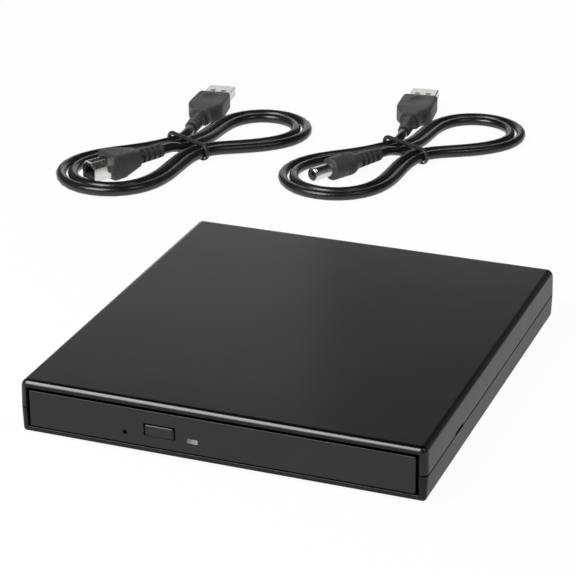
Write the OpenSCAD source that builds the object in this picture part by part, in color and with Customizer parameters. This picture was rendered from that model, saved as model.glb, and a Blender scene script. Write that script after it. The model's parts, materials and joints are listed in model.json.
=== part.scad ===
// Slim external disc drive: a two-part case around a tray-loading drive, with its two tied leads.
// Millimetres. The origin is on the table under the middle of the case, +Z is up and the tray opens to -Y.

/* [Case] */
// Thickness of the case's side, front and rear walls
wall = 2; // [1.4:0.1:3]
// Thickness of the case floor
floor_t = 1.6; // [1.2:0.1:3]
// Thickness of the case roof
roof_t = 1.6; // [1.2:0.1:3]
// Space between the drive and each side wall
side_gap = 1.6; // [1:0.1:4]
// Height of the pads that carry the drive
seat_h = 0.9; // [0.5:0.1:3]
// Space between the drive and the roof
head_gap = 1.2; // [0.8:0.1:3]
// Height of the seam above the underside
seam_rise = 8.8; // [7:0.1:11]
// Radius of the case's upright and upper edges
edge_r = 2; // [1.5:0.1:3]
// Radius of the lower edges
low_r = 1.5; // [0.8:0.1:2]
// How far the underside is drawn in
draft = 0.45; // [0:0.05:0.8]
// How far the roof is drawn in
top_draft = 0.15; // [0:0.05:0.5]
// Height of the rubber feet
foot_h = 0.8; // [0.5:0.1:2]
// Radius of the rubber feet
foot_r = 4.5; // [3:0.1:6]
// Distance of the feet from the case's sides
foot_inset = 16; // [14:0.5:20]
// Height of the tongue along the seam
tongue_h = 1; // [0.6:0.1:2]
// Thickness of the tongue along the seam
tongue_t = 0.8; // [0.5:0.1:1]
// Length of the pry notch in the seam
notch_l = 7.6; // [4:0.2:12]
// Height of the pry notch
notch_h = 0.9; // [0.5:0.1:1.5]
// Distance of the pry notch from the front
notch_y = 32; // [20:0.5:60]

/* [Front] */
// Width of the bezel
bezel_w = 128; // [127:0.5:134]
// Height of the bezel
bezel_h = 12.2; // [11.6:0.1:12.6]
// Thickness of the bezel
bezel_t = 2.2; // [2:0.1:3]
// How far the bezel lies behind the case front
bezel_recess = 0.5; // [0:0.1:1]
// Gap below and beside the bezel
bezel_gap = 0.8; // [0.5:0.1:1]
// Gap above the bezel
bezel_head_gap = 1.1; // [0.5:0.1:1.2]
// How far the bezel reaches past the drive's chassis on each side
bezel_over = 0; // [0:0.1:0.4]
// Bevel along the bezel's edges
bezel_bevel = 0.4; // [0.2:0.1:0.8]
// Width of the eject button
button_w = 10.2; // [6:0.2:14]
// Height of the eject button
button_h = 4; // [3:0.1:5]
// Middle of the button, from the middle of the bezel
button_x = -19.3; // [-24:0.1:-18]
// Middle of the button above the bezel's lower edge
button_rise = 5.4; // [5:0.1:6]
// How far the button stands out of the bezel
button_proud = 0.3; // [0.1:0.1:0.8]
// Travel of the button
button_travel = 0.8; // [0.4:0.1:1]
// Gap around the button
button_gap = 0.3; // [0.2:0.05:0.5]
// Width of the indicator window
window_w = 3.7; // [2:0.1:5]
// Height of the indicator window
window_h = 1.7; // [1:0.1:2.4]
// Middle of the indicator window, from the middle of the bezel
window_x = -8.5; // [-10:0.1:-6]
// Middle of the indicator window above the bezel's lower edge
window_rise = 3.85; // [3.4:0.05:4.2]
// Diameter of the emergency eject hole
pinhole_d = 1.5; // [1:0.1:2]
// Middle of the emergency eject hole, from the middle of the bezel
pinhole_x = -31.25; // [-36:0.25:-31]
// Middle of the emergency eject hole above the bezel's lower edge
pinhole_rise = 3.3; // [3:0.1:4]

/* [Drive] */
// Height of the drive's chassis
chassis_h = 12.7; // [12.5:0.1:15]
// Thickness of the chassis sheet
sheet_t = 0.6; // [0.4:0.1:0.8]
// Gap between the bezel and the chassis
bezel_back_gap = 0.3; // [0.2:0.1:0.8]
// Gap behind the tray
rear_gap = 2.7; // [1.5:0.1:5]
// Thickness of the guides' webs
guide_web = 0.8; // [0.6:0.1:1.5]
// Depth of the guides' flanges past the web
guide_lip = 2; // [1.5:0.1:3]
// Thickness of the guides' flanges
guide_flange = 1; // [0.8:0.1:1.2]
// Space between the guides and the rear of the chassis
guide_rear = 15.5; // [12:0.5:24]
// How much shorter the rails are than the guides
rail_short = 2; // [2:0.5:6]
// Width of the rails
rail_w = 4.6; // [4:0.1:5]
// Height of the rails
rail_h = 3.6; // [3:0.1:3.8]
// Running gap around the rails and the tray
run_gap = 0.3; // [0.2:0.05:0.4]
// Radius of the latch pin
pin_r = 1.2; // [0.8:0.1:1.5]
// Distance of the latch pin from the side of the chassis
pin_inset = 18; // [16:0.5:20]
// Thickness of the drive's circuit boards
board_t = 1; // [0.8:0.1:1.2]
// Height of the chips
chip_h = 1.1; // [0.8:0.1:1.2]
// Width of the ribbon cable
ribbon_w = 12; // [8:0.5:14]
// Thickness of the ribbon cable
ribbon_t = 0.15; // [0.1:0.05:0.3]

/* [Tray] */
// How much wider the chassis is than the disc, on each side
disc_side = 4; // [3:0.5:5]
// Gap around the disc in the tray
bowl_gap = 0.6; // [0.4:0.1:1]
// Diameter of the inner recess for small discs
small_disc_d = 80; // [78:0.5:84]
// Depth of the inner recess
small_step = 0.4; // [0.2:0.1:0.6]
// Flat between the bezel and the disc
front_land = 1; // [0.6:0.1:2]
// How far the disc's hollow runs past the tray's rear edge
bowl_cut = 0.7; // [0.3:0.1:1.5]
// Height of the tray
tray_h = 8.3; // [8:0.1:8.6]
// Depth of the disc's hollow
bowl_h = 2.6; // [2.4:0.1:2.8]
// Thickness of the hollow's floor
bowl_t = 1.4; // [1.2:0.1:1.5]
// Gap under the tray
tray_float = 0.4; // [0.3:0.05:0.5]
// Thickness of the tray's front and rear walls
tray_wall = 1.8; // [1.5:0.1:2.2]

/* [Deck] */
// Thickness of the deck plate
deck_t = 0.8; // [0.6:0.1:1]
// Thickness of the deck's cover plate
cover_t = 0.4; // [0.3:0.1:0.5]
// Direction in which the pickup travels
deck_angle = -45; // [-50:1:-40]
// Diameter of the turntable
turntable_d = 28; // [24:0.5:30]
// Height of the turntable's face above the tray floor
disc_float = 0.9; // [0.7:0.1:1.2]
// Diameter of the hub that centres the disc
hub_d = 14.8; // [14:0.1:14.9]
// Height of the hub above the turntable
hub_h = 2.4; // [2:0.1:3]
// Diameter of the spindle motor
motor_d = 25; // [20:0.5:26]
// Radius of the spindle's shaft
shaft_r = 1.5; // [1:0.1:2]
// Running clearance of shafts and rods
bearing_gap = 0.05; // [0.02:0.01:0.1]
// Width of a disc clamp claw
claw_w = 2.4; // [1.6:0.1:3]
// How far the claws stand out of the hub
claw_nose = 0.5; // [0.2:0.1:0.8]
// Travel of the claws
claw_travel = 0.8; // [0.4:0.1:1]
// Radius of the guide rods
rod_r = 1; // [0.8:0.1:1.2]
// Distance of each guide rod from the pickup's line
rod_v = 11.5; // [11:0.1:12]
// Smallest radius that the lens reaches
lens_in = 24; // [23.5:0.1:26]
// Width of the disc's rim that the lens doesn't reach
disc_rim = 4.5; // [4.5:0.5:6]
// Diameter of the objective lens
lens_d = 4.4; // [3:0.1:5]
// Width of the lens holder
holder_w = 8; // [7:0.1:9]
// Travel of the lens each way
focus_travel = 0.3; // [0.1:0.05:0.35]
// Radius of the lead screw
screw_r = 1.2; // [0.9:0.1:1.4]
// Distance of the lead screw from the pickup's line
screw_v = 17; // [16.5:0.1:17.5]
// Radius of the rubber grommets
grommet_r = 2.5; // [2:0.1:3]
// Radius of the tray's posts
post_r = 1; // [0.8:0.1:1.2]
// Angle that the latch swings through
latch_swing = 13; // [12:0.5:16]

/* [Rear sockets] */
// Width of the data socket
socket_w = 12; // [11:0.1:13]
// Height of the data socket
socket_h = 10.8; // [10:0.1:11.2]
// Depth of the data socket
socket_d = 15.5; // [14:0.1:18]
// Width of the data socket's mouth
mouth_w = 8.6; // [8:0.1:9]
// Height of the data socket's mouth
mouth_h = 7.9; // [7.4:0.1:8.2]
// Width of the data socket's tongue
tongue_w = 5.6; // [5:0.1:6]
// Thickness of the data socket's tongue
tongue_thick = 3.2; // [2.8:0.1:3.4]
// Middle of the data socket
socket_x = -34; // [-44:0.5:-30]
// Width of the power jack
jack_w = 9; // [8:0.1:10]
// Height of the power jack
jack_h = 10.4; // [9:0.1:11]
// Depth of the power jack
jack_d = 13.5; // [12:0.1:14]
// Diameter of the power jack's mouth
jack_bore_d = 6.3; // [5.8:0.1:6.8]
// Diameter of the power jack's centre pin
jack_pin_d = 2; // [1.6:0.1:2.4]
// Middle of the power jack
jack_x = -12; // [-18:0.5:-8]
// Gap around the sockets in the rear wall
port_gap = 0.3; // [0.2:0.05:0.5]
// Space between the sockets and the drive
bay_gap = 0.8; // [0.5:0.1:3]
// How far the sockets lie behind the rear face
port_recess = 0.2; // [0:0.1:0.6]
// Height of the posts under the bridge board
stand_h = 1.2; // [0.8:0.1:1.4]
// Thickness of the bridge board
bridge_t = 1.2; // [1:0.1:1.6]

/* [Leads] */
// Diameter of the data lead
data_cord_d = 4.2; // [3.6:0.1:4.4]
// Diameter of the power lead
power_cord_d = 3.8; // [3.4:0.1:4]
// Spacing of the turns in a hank, beyond the cord itself
turn_gap = 0.7; // [0.5:0.1:1]
// Length of a hank along its outer turn
hank_l = 124; // [120:1:130]
// Breadth that the lobes of a hank are drawn from
lobe_w = 108; // [104:1:114]
// Breadth of a hank at its waist
waist_w = 22.4; // [21:0.2:24]
// Turns in a hank
turns = 2; // [1:1:2]
// Thickness of the ties
tie_t = 0.8; // [0.5:0.1:1]
// Width of the ties
tie_w = 2; // [1.6:0.2:2.4]
// Gap between a tie and the cord
tie_gap = 0.35; // [0.25:0.05:0.5]
// Width of the A-type plugs' metal shells
plug_w = 12; // [11.8:0.1:12.2]
// Thickness of the A-type plugs' metal shells
plug_h = 4.5; // [4.3:0.1:4.7]
// Visible length of the A-type plugs' metal shells
plug_l = 12.5; // [11:0.5:19]
// Width of the A-type plugs' grips
grip_w = 15.6; // [14.5:0.1:16.5]
// Thickness of the A-type plugs' grips
grip_h = 7.8; // [7:0.1:9]
// Length of the A-type plugs' grips
grip_l = 25; // [20:0.5:27]
// Sheet thickness of the plug shells
plug_sheet = 0.35; // [0.3:0.05:0.5]
// Length of the strain reliefs
relief_l = 13; // [10:0.5:14]
// Width of the B-type plug's grip
b_grip_w = 11.4; // [10.5:0.1:11.8]
// Height of the B-type plug's grip
b_grip_h = 10.4; // [10:0.1:11.5]
// Length of the B-type plug's grip
b_grip_l = 15; // [12:0.5:16]
// Width of the B-type plug's shell
b_shell_w = 8.4; // [8:0.1:8.5]
// Height of the B-type plug's shell
b_shell_h = 7.7; // [7.4:0.1:7.8]
// Visible length of the B-type plug's shell
b_shell_l = 9; // [8:0.5:10]
// Diameter of the barrel plug's sleeve
barrel_d = 5.5; // [5:0.1:6]
// Diameter of the barrel plug's bore
barrel_bore_d = 2.1; // [1.8:0.1:2.5]
// Visible length of the barrel plug's sleeve
barrel_l = 9.5; // [8:0.5:10]
// Diameter of the barrel plug's grip
barrel_grip_d = 9.6; // [8:0.1:10.5]
// Length of the barrel plug's grip
barrel_grip_l = 14; // [12:0.5:16]

/* [Hidden] */
$fn = 48;
hull_fn = 32;
eps = 0.01;

// Heights, from the table up
case_z0 = foot_h;
floor_z = case_z0 + floor_t;
chassis_z0 = floor_z + seat_h;
chassis_z1 = chassis_z0 + chassis_h;
roof_z = chassis_z1 + head_gap;
case_z1 = roof_z + roof_t;
seam_z = case_z0 + seam_rise;
pan_z = chassis_z0 + sheet_t;
lid_z = chassis_z1 - sheet_t;
bezel_z0 = chassis_z0 + (chassis_h - bezel_h) / 2;
bezel_z1 = bezel_z0 + bezel_h;
open_z0 = bezel_z0 - bezel_gap;
open_z1 = bezel_z1 + bezel_head_gap;
tray_z0 = pan_z + tray_float;
tray_z1 = tray_z0 + tray_h;
bowl_z = tray_z1 - bowl_h;
under_z = bowl_z - bowl_t;
disc_z = bowl_z + disc_float;
rail_z0 = pan_z + guide_flange + run_gap;
rail_z1 = rail_z0 + rail_h;
button_z = bezel_z0 + button_rise;
window_z = bezel_z0 + window_rise;
pinhole_z = bezel_z0 + pinhole_rise;

// Widths
chassis_w = bezel_w - 2 * bezel_over;
disc_d = chassis_w - 2 * disc_side;
case_w = chassis_w + 2 * (side_gap + wall);
room_x = case_w / 2 - wall;
pan_x = chassis_w / 2 - sheet_t;
open_x = bezel_w / 2 + bezel_gap;
rail_x1 = pan_x - guide_web - run_gap;
rail_x0 = rail_x1 - rail_w;
guide_x = pan_x - guide_web - guide_lip;
tray_x = guide_x - run_gap;
groove_x = rail_x0 - run_gap;
skirt_t = 1.9;
cavity_x = groove_x - skirt_t;
pin_x = -chassis_w / 2 + pin_inset;

// Depths, from the front to the rear
bowl_r = disc_d / 2 + bowl_gap;
tray_d = front_land + 2 * bowl_r - bowl_cut;
rear_bay = socket_d + port_recess + bay_gap - wall;
case_d = bezel_recess + bezel_t + tray_d + rear_gap + sheet_t + rear_bay + wall;
front_y = -case_d / 2;
bezel_y = front_y + bezel_recess;
tray_y0 = bezel_y + bezel_t;
tray_y1 = tray_y0 + tray_d;
disc_y = tray_y0 + front_land + bowl_r;
chassis_y0 = tray_y0 + bezel_back_gap;
chassis_y1 = tray_y1 + rear_gap + sheet_t;
rear_y = -front_y;
bay_y1 = rear_y - wall;
guide_y0 = chassis_y0 + 2;
guide_y1 = chassis_y1 - guide_rear;
rail_y0 = guide_y0 + 1;
rail_y1 = guide_y1 + 1 - rail_short;
cavity_y0 = tray_y0 + tray_wall;
cavity_y1 = tray_y1 - tray_wall;
pin_y = chassis_y0 + 9;

// Box between two corners
module slab(x0, x1, y0, y1, z0, z1) {
    translate([x0, y0, z0]) cube([x1 - x0, y1 - y0, z1 - z0]);
}

// Upright round bar
module post(x, y, z0, z1, r) {
    translate([x, y, z0]) cylinder(r = r, h = z1 - z0);
}

// Bar along Y
module bar_y(x, z, y0, y1, r) {
    translate([x, y0, z]) rotate([-90, 0, 0]) cylinder(r = r, h = y1 - y0);
}

// Plate with round corners
module round_plate(w, d, h, r) {
    linear_extrude(h) {
        square([w - 2 * r, d], center = true);
        square([w, d - 2 * r], center = true);
        for (sx = [-1, 1], sy = [-1, 1]) translate([sx * (w / 2 - r), sy * (d / 2 - r)]) circle(r = r);
    }
}

// Case

// Outer form of the closed case, widest at the seam
module case_form() {
    hull() for (sx = [-1, 1], sy = [-1, 1]) {
        translate([sx * (case_w / 2 - draft - low_r), sy * (case_d / 2 - draft - low_r), case_z0 + low_r])
            sphere(r = low_r, $fn = hull_fn);
        translate([sx * (case_w / 2 - edge_r), sy * (case_d / 2 - edge_r), seam_z - eps])
            cylinder(r = edge_r, h = 2 * eps, $fn = hull_fn);
        translate([sx * (case_w / 2 - top_draft - edge_r), sy * (case_d / 2 - top_draft - edge_r),
            case_z1 - edge_r]) sphere(r = edge_r, $fn = hull_fn);
    }
}

module front_opening() {
    slab(-open_x, open_x, front_y - 1, front_y + wall + 1, open_z0, open_z1);
}

bridge_z = floor_z + stand_h;
deck_top = bridge_z + bridge_t;
port_y = rear_y - port_recess;

module rear_ports() {
    slab(socket_x - socket_w / 2 - port_gap, socket_x + socket_w / 2 + port_gap,
        bay_y1 - 1, rear_y + 1, deck_top - port_gap, deck_top + socket_h + port_gap);
    slab(jack_x - jack_w / 2 - port_gap, jack_x + jack_w / 2 + port_gap,
        bay_y1 - 1, rear_y + 1, deck_top - port_gap, deck_top + jack_h + port_gap);
}

// Ring in the seam, behind the outer half of the wall
module seam_ring(outer_inset, z0, z1) {
    ring_r = edge_r - outer_inset / 2;
    difference() {
        translate([0, 0, z0])
            round_plate(case_w - 2 * outer_inset, case_d - 2 * outer_inset, z1 - z0, ring_r);
        slab(-room_x, room_x, front_y + wall, bay_y1, z0 - 1, z1 + 1);
        slab(-case_w, case_w, front_y - 1, front_y + wall + edge_r, z0 - 1, z1 + 1);
    }
}

boss_x = case_w / 2 - 9.1;
boss_y = bay_y1 - 6.5;
boss_r = 3;
screw_shank_r = 1;
screw_head_r = 2.2;
screw_head_h = 1;
screw_gap = 0.1;
rib_w = 1.2;
rib_ys = [-0.3, 0, 0.3];
rib_x = chassis_w / 2 - 20;
rib_drop = 4;
boss_hole_l = 6;
boss_z = seam_z - 1;
tongue_inset = wall - tongue_t;
seam_gap = 0.2;

module top_cover() color([0.2, 0.2, 0.2]) {
    difference() {
        intersection() {
            case_form();
            slab(-case_w, case_w, -case_d, case_d, seam_z, case_z1 + 1);
        }
        slab(-room_x, room_x, front_y + wall, bay_y1, seam_z - 1, roof_z);
        front_opening();
        rear_ports();
        seam_ring(tongue_inset - seam_gap, seam_z - 1, seam_z + tongue_h + seam_gap);
        slab(case_w / 2 - wall / 2, case_w, front_y + notch_y - notch_l / 2, front_y + notch_y + notch_l / 2,
            seam_z - 1, seam_z + notch_h);
    }
    // ribs that hold the drive down and between the walls
    for (k = rib_ys) {
        slab(-rib_x, rib_x, k * case_d, k * case_d + rib_w, chassis_z1, roof_z + eps);
        for (sx = [-1, 1]) {
            slab(min(sx * chassis_w / 2, sx * (room_x + eps)), max(sx * chassis_w / 2, sx * (room_x + eps)),
                k * case_d, k * case_d + rib_w, chassis_z1 - rib_drop, roof_z + eps);
        }
    }
    // bosses that take the case screws
    for (sx = [-1, 1]) difference() {
        post(sx * boss_x, boss_y, boss_z, roof_z + eps, boss_r);
        post(sx * boss_x, boss_y, boss_z - 1, boss_z + boss_hole_l, screw_shank_r + eps);
    }
}

bridge_side = 13.6;
bridge_x = room_x - bridge_side;
stand_in = 6;
stand_x = bridge_x - stand_in;
stand_xs = [-stand_x, stand_x];
stand_y = chassis_y1 + bay_gap + 6.5;
stand_r = 2;
shelf_in = 19;
shelf_x = chassis_w / 2 - shelf_in;
shelf_l = 14;
stop_x = boss_x - 4.5;
stop_w = 3;

module bottom_shell() color([0.19, 0.19, 0.19]) {
    difference() {
        union() {
            intersection() {
                case_form();
                slab(-case_w, case_w, -case_d, case_d, case_z0 - 1, seam_z);
            }
            intersection() {
                seam_ring(tongue_inset, seam_z - 1, seam_z + tongue_h);
                slab(-case_w, case_w, -case_d, case_d, seam_z - eps, seam_z + tongue_h);
            }
        }
        slab(-room_x, room_x, front_y + wall, bay_y1, floor_z, seam_z + tongue_h + 1);
        front_opening();
        rear_ports();
        for (sx = [-1, 1]) {
            post(sx * boss_x, boss_y, case_z0 - 1, floor_z + 1, screw_shank_r + screw_gap);
            post(sx * boss_x, boss_y, case_z0 - 1, case_z0 + screw_head_h, screw_head_r + screw_gap);
        }
    }
    // tubes round the case screws
    for (sx = [-1, 1]) difference() {
        post(sx * boss_x, boss_y, floor_z - eps, boss_z - seam_gap, boss_r);
        post(sx * boss_x, boss_y, floor_z - 1, boss_z, screw_shank_r + screw_gap);
    }
    // pads that carry the drive, and stops behind it
    for (sx = [-1, 1], k = rib_ys) {
        slab(sx * shelf_x - shelf_l / 2, sx * shelf_x + shelf_l / 2, k * case_d, k * case_d + rib_w * 2,
            floor_z - eps, chassis_z0);
    }
    for (sx = [-1, 1]) {
        slab(sx * stop_x - stop_w / 2, sx * stop_x + stop_w / 2, chassis_y1, chassis_y1 + rib_w,
            floor_z - eps, seam_z - 1);
    }
    // posts under the bridge board
    for (x = stand_xs) difference() {
        post(x, stand_y, floor_z - eps, bridge_z, stand_r);
        post(x, stand_y, floor_z, bridge_z + 1, small_shank_r + eps);
    }
}

foot_x = case_w / 2 - foot_inset;
foot_y = case_d / 2 - foot_inset;

module rubber_feet() color([0.12, 0.12, 0.12])
    for (sx = [-1, 1], sy = [-1, 1]) post(sx * foot_x, sy * foot_y, 0, foot_h, foot_r);

small_shank_r = 0.7;
small_head_r = 1.5;
small_head_h = 0.5;
cross_share = 0.6;
cross_w = 0.3;
head_set = 0.2;
case_screw_l = boss_z + 5 - case_z0 - screw_head_h;
lug_w = 4;
lug_h = 2;
lug_x = pan_x - lug_w / 2;
lug_ys = [chassis_y0 + lug_w / 2, chassis_y1 - sheet_t - lug_w / 2];

// Screw with its head at z, its shank pointing down where turn is 0
module screw(x, y, z, turn, shank, shank_l, head, head_h) {
    translate([x, y, z]) rotate([turn, 0, 0]) {
        difference() {
            cylinder(r = head, h = head_h);
            for (a = [0, 90]) rotate(a) translate([-head * cross_share, -cross_w / 2, head_h * cross_share])
                cube([2 * head * cross_share, cross_w, head_h]);
        }
        translate([0, 0, -shank_l]) cylinder(r = shank, h = shank_l + eps);
    }
}

module fasteners() color("silver") {
    for (sx = [-1, 1]) {
        screw(sx * boss_x, boss_y, case_z0 + screw_head_h, 180,
            screw_shank_r, case_screw_l, screw_head_r, screw_head_h - head_set);
    }
    for (x = stand_xs) {
        screw(x, stand_y, deck_top, 0,
            small_shank_r, bridge_t + stand_h - head_set, small_head_r, small_head_h);
    }
    for (sx = [-1, 1], y = lug_ys) {
        screw(sx * lug_x, y, chassis_z1, 0, small_shank_r, lug_h, small_head_r, small_head_h);
    }
}

// Rear electronics

bridge_y0 = chassis_y1 + bay_gap;
bridge_y1 = bay_y1 - 0.5;
block_x = 24;
block_w = 34;
block_d = 5;
block_h = 4.6;
crystal_r = 1.6;

module bridge_board() color([0.05, 0.3, 0.15]) difference() {
    slab(-bridge_x, bridge_x, bridge_y0, bridge_y1, bridge_z, deck_top);
    for (x = stand_xs) post(x, stand_y, bridge_z - 1, deck_top + 1, small_shank_r + screw_gap);
}

module drive_connector() color([0.85, 0.83, 0.78]) difference() {
    slab(block_x - block_w / 2, block_x + block_w / 2, chassis_y1, chassis_y1 + bay_gap + block_d,
        deck_top, deck_top + block_h);
    slab(block_x - block_w / 2 + 1, block_x + block_w / 2 - 1, chassis_y1 + bay_gap + block_d - 1.5,
        chassis_y1 + bay_gap + block_d + 1, deck_top + 1.2, deck_top + block_h - 1.2);
}

socket_y0 = port_y - socket_d;
socket_mid = deck_top + socket_h / 2;
contact_t = 0.25;
contact_w = 0.9;
tongue_back = 2.5;
tongue_set = 1.2;

module socket_shell() color("silver") difference() {
    slab(socket_x - socket_w / 2, socket_x + socket_w / 2, socket_y0, port_y, deck_top, deck_top + socket_h);
    slab(socket_x - mouth_w / 2, socket_x + mouth_w / 2, socket_y0 + 1, port_y + 1,
        socket_mid - mouth_h / 2, socket_mid + mouth_h / 2);
}

module socket_tongue() color([0.9, 0.9, 0.88]) {
    slab(socket_x - mouth_w / 2, socket_x + mouth_w / 2, socket_y0 + 1, socket_y0 + 1 + tongue_back,
        socket_mid - mouth_h / 2, socket_mid + mouth_h / 2);
    slab(socket_x - tongue_w / 2, socket_x + tongue_w / 2, socket_y0 + tongue_back, port_y - tongue_set,
        socket_mid - tongue_thick / 2, socket_mid + tongue_thick / 2);
}

module socket_contacts() color("gold")
    for (sx = [-1, 1], sz = [-1, 1]) {
        z = socket_mid + sz * (tongue_thick / 2 + contact_t / 2);
        slab(socket_x + sx * tongue_w / 4 - contact_w / 2, socket_x + sx * tongue_w / 4 + contact_w / 2,
            socket_y0 + 1 + tongue_back, port_y - tongue_set - 1, z - contact_t / 2, z + contact_t / 2);
    }

jack_y0 = port_y - jack_d;
jack_mid = deck_top + jack_h / 2;
jack_bore_l = 9.5;
jack_pin_l = 8.5;
pin_step = 0.4;

module jack_body() color([0.07, 0.07, 0.07]) difference() {
    slab(jack_x - jack_w / 2, jack_x + jack_w / 2, jack_y0, port_y, deck_top, deck_top + jack_h);
    bar_y(jack_x, jack_mid, port_y - jack_bore_l, port_y + 1, jack_bore_d / 2);
    bar_y(jack_x, jack_mid, jack_y0 + 1, port_y, jack_pin_d / 2 + pin_step);
}

module jack_pin() color("silver") {
    bar_y(jack_x, jack_mid, jack_y0 + 1, port_y - jack_bore_l, jack_pin_d / 2 + pin_step);
    bar_y(jack_x, jack_mid, port_y - jack_bore_l - eps, port_y - jack_bore_l + jack_pin_l, jack_pin_d / 2);
}

// Drive chassis

main_d = 27;
main_y0 = tray_y1 - main_d;
main_y1 = tray_y1 + rear_gap - 0.5;
main_z = pan_z + 0.7;
main_x0 = -cavity_x + 1.5;
main_side = 21.5;
main_x1 = cavity_x - main_side;
main_post_r = 2;
main_post_xs = [main_x0 + 4, main_x1 - 4];
main_post_ys = [main_y0 + 3, main_y1 - 4];
ejector_side = 11.5;
ejector_x = cavity_x - ejector_side;
ejector_z = pan_z + 1.9;
ejector_l = 25;
ejector_rear = 10.5;
ejector_y1 = chassis_y1 - ejector_rear;
ejector_y0 = ejector_y1 - ejector_l;
ejector_rod_r = 0.7;
bracket_t = 1;
bracket_h = 3.2;
bracket_w = 6;
push_t = 1.2;
push_over = 0.6;

module chassis_pan() color([0.75, 0.76, 0.78]) {
    difference() {
        slab(-chassis_w / 2, chassis_w / 2, chassis_y0, chassis_y1, chassis_z0, lid_z);
        slab(-pan_x, pan_x, chassis_y0 - 1, chassis_y1 - sheet_t, pan_z, lid_z + 1);
    }
    for (sx = [-1, 1], y = lug_ys) difference() {
        slab(sx * lug_x - lug_w / 2 - eps, sx * lug_x + lug_w / 2 + eps, y - lug_w / 2, y + lug_w / 2,
            lid_z - lug_h, lid_z);
        post(sx * lug_x, y, lid_z - lug_h - 1, lid_z + 1, small_shank_r + eps);
    }
    for (x = main_post_xs, y = main_post_ys) post(x, y, pan_z - eps, main_z, main_post_r);
    difference() {
        slab(ejector_x - bracket_w / 2, ejector_x + bracket_w / 2, ejector_y1, ejector_y1 + bracket_t,
            pan_z - eps, pan_z + bracket_h);
        bar_y(ejector_x, ejector_z, ejector_y1 - 1, ejector_y1 + bracket_t + 1, ejector_rod_r + bearing_gap);
    }
}

module chassis_cover() color([0.7, 0.71, 0.73]) difference() {
    slab(-chassis_w / 2, chassis_w / 2, chassis_y0, chassis_y1, lid_z, chassis_z1);
    for (sx = [-1, 1], y = lug_ys) post(sx * lug_x, y, lid_z - 1, chassis_z1 + 1, small_shank_r + screw_gap);
}

module rail_guides() color([0.85, 0.85, 0.82]) for (side = [0, 1]) mirror([side, 0, 0]) difference() {
    slab(guide_x, pan_x, guide_y0, guide_y1, pan_z, rail_z1 + run_gap + guide_flange);
    slab(guide_x - 1, pan_x - guide_web, guide_y0 - 1, guide_y1 + 1,
        rail_z0 - run_gap, rail_z1 + run_gap);
}

pin_h = 3.3;

module latch_pin() color("silver") post(pin_x, pin_y, pan_z, pan_z + pin_h, pin_r);

module main_board() color([0.06, 0.32, 0.18])
    slab(main_x0, main_x1, main_y0, main_y1, main_z, main_z + board_t);

// Chips by the middle of each, from the edges of its board, with its width and its depth
bridge_chip_x = 3;
bridge_chip_front = 6;
bridge_chip_w = 8;
power_chip_in = 14;
power_chip_front = 9.25;
power_chip_w = 4;
power_chip_d = 3.5;
crystal_side = 1;
crystal_x = (socket_x + jack_x) / 2 - crystal_side;
crystal_front = 8;
crystal_h = 4;
reader_in = 42;
reader_front = 13;
reader_w = 16;
driver_in = 23;
driver_front = 11;
driver_w = 10;
driver_d = 6;
memory_in = 10.5;
memory_front = 17;
memory_w = 7;
memory_d = 6;
clip_over = 1;
clip_front = 3;
clip_d = 4;

module chip(x, y, w, d, z) {
    slab(x - w / 2, x + w / 2, y - d / 2, y + d / 2, z, z + chip_h);
}

module board_chips() color([0.08, 0.08, 0.08]) {
    // on the bridge board
    chip(bridge_chip_x, bridge_y0 + bridge_chip_front, bridge_chip_w, bridge_chip_w, deck_top);
    chip(bridge_x - power_chip_in, bridge_y0 + power_chip_front, power_chip_w, power_chip_d, deck_top);
    post(crystal_x, bridge_y0 + crystal_front, deck_top, deck_top + crystal_h, crystal_r);
    // on the drive's main board, with the ribbon's clip
    chip(main_x0 + reader_in, main_y0 + reader_front, reader_w, reader_w, main_z + board_t);
    chip(main_x1 - driver_in, main_y0 + driver_front, driver_w, driver_d, main_z + board_t);
    chip(main_x1 - memory_in, main_y0 + memory_front, memory_w, memory_d, main_z + board_t);
    chip(ribbon_x, main_y0 + clip_front, ribbon_w + 2 * clip_over, clip_d, main_z + board_t);
}

ribbon_side = 21.5;
ribbon_x = -cavity_x + ribbon_side;
ribbon_z0 = pan_z + 0.1;
ribbon_z1 = under_z - run_gap - ribbon_t;
ribbon_r = (ribbon_z1 + ribbon_t - ribbon_z0) / 2;
ribbon_front = 18.3;
ribbon_l = 30;
ribbon_bend_y = disc_y - ribbon_front;
ribbon_end_y = ribbon_bend_y + ribbon_l;

// Flat ribbon folded back on itself: the lower run lies on the pan and the upper run is under the tray
module ribbon_cable() color([0.9, 0.9, 0.92]) translate([ribbon_x - ribbon_w / 2, 0, 0]) {
    cube_y = main_y0 - ribbon_bend_y;
    translate([0, ribbon_bend_y, ribbon_z0]) cube([ribbon_w, cube_y, ribbon_t]);
    translate([0, ribbon_bend_y, ribbon_z1]) cube([ribbon_w, ribbon_end_y - ribbon_bend_y, ribbon_t]);
    translate([0, ribbon_bend_y, ribbon_z0 + ribbon_r]) rotate([90, 0, 90]) linear_extrude(ribbon_w)
        difference() {
            circle(r = ribbon_r);
            circle(r = ribbon_r - ribbon_t);
            translate([0, -2 * ribbon_r]) square([2 * ribbon_r, 4 * ribbon_r]);
        }
}

module ejector_pusher() color([0.85, 0.85, 0.82]) {
    bar_y(ejector_x, ejector_z, ejector_y0 + push_t - eps, ejector_y1 + bracket_t + 3, ejector_rod_r);
    bar_y(ejector_x, ejector_z, ejector_y0, ejector_y0 + push_t, ejector_rod_r + push_over);
}

spring_r = 1.15;
wire_r = 0.2;
spring_coils = 9;

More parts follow.
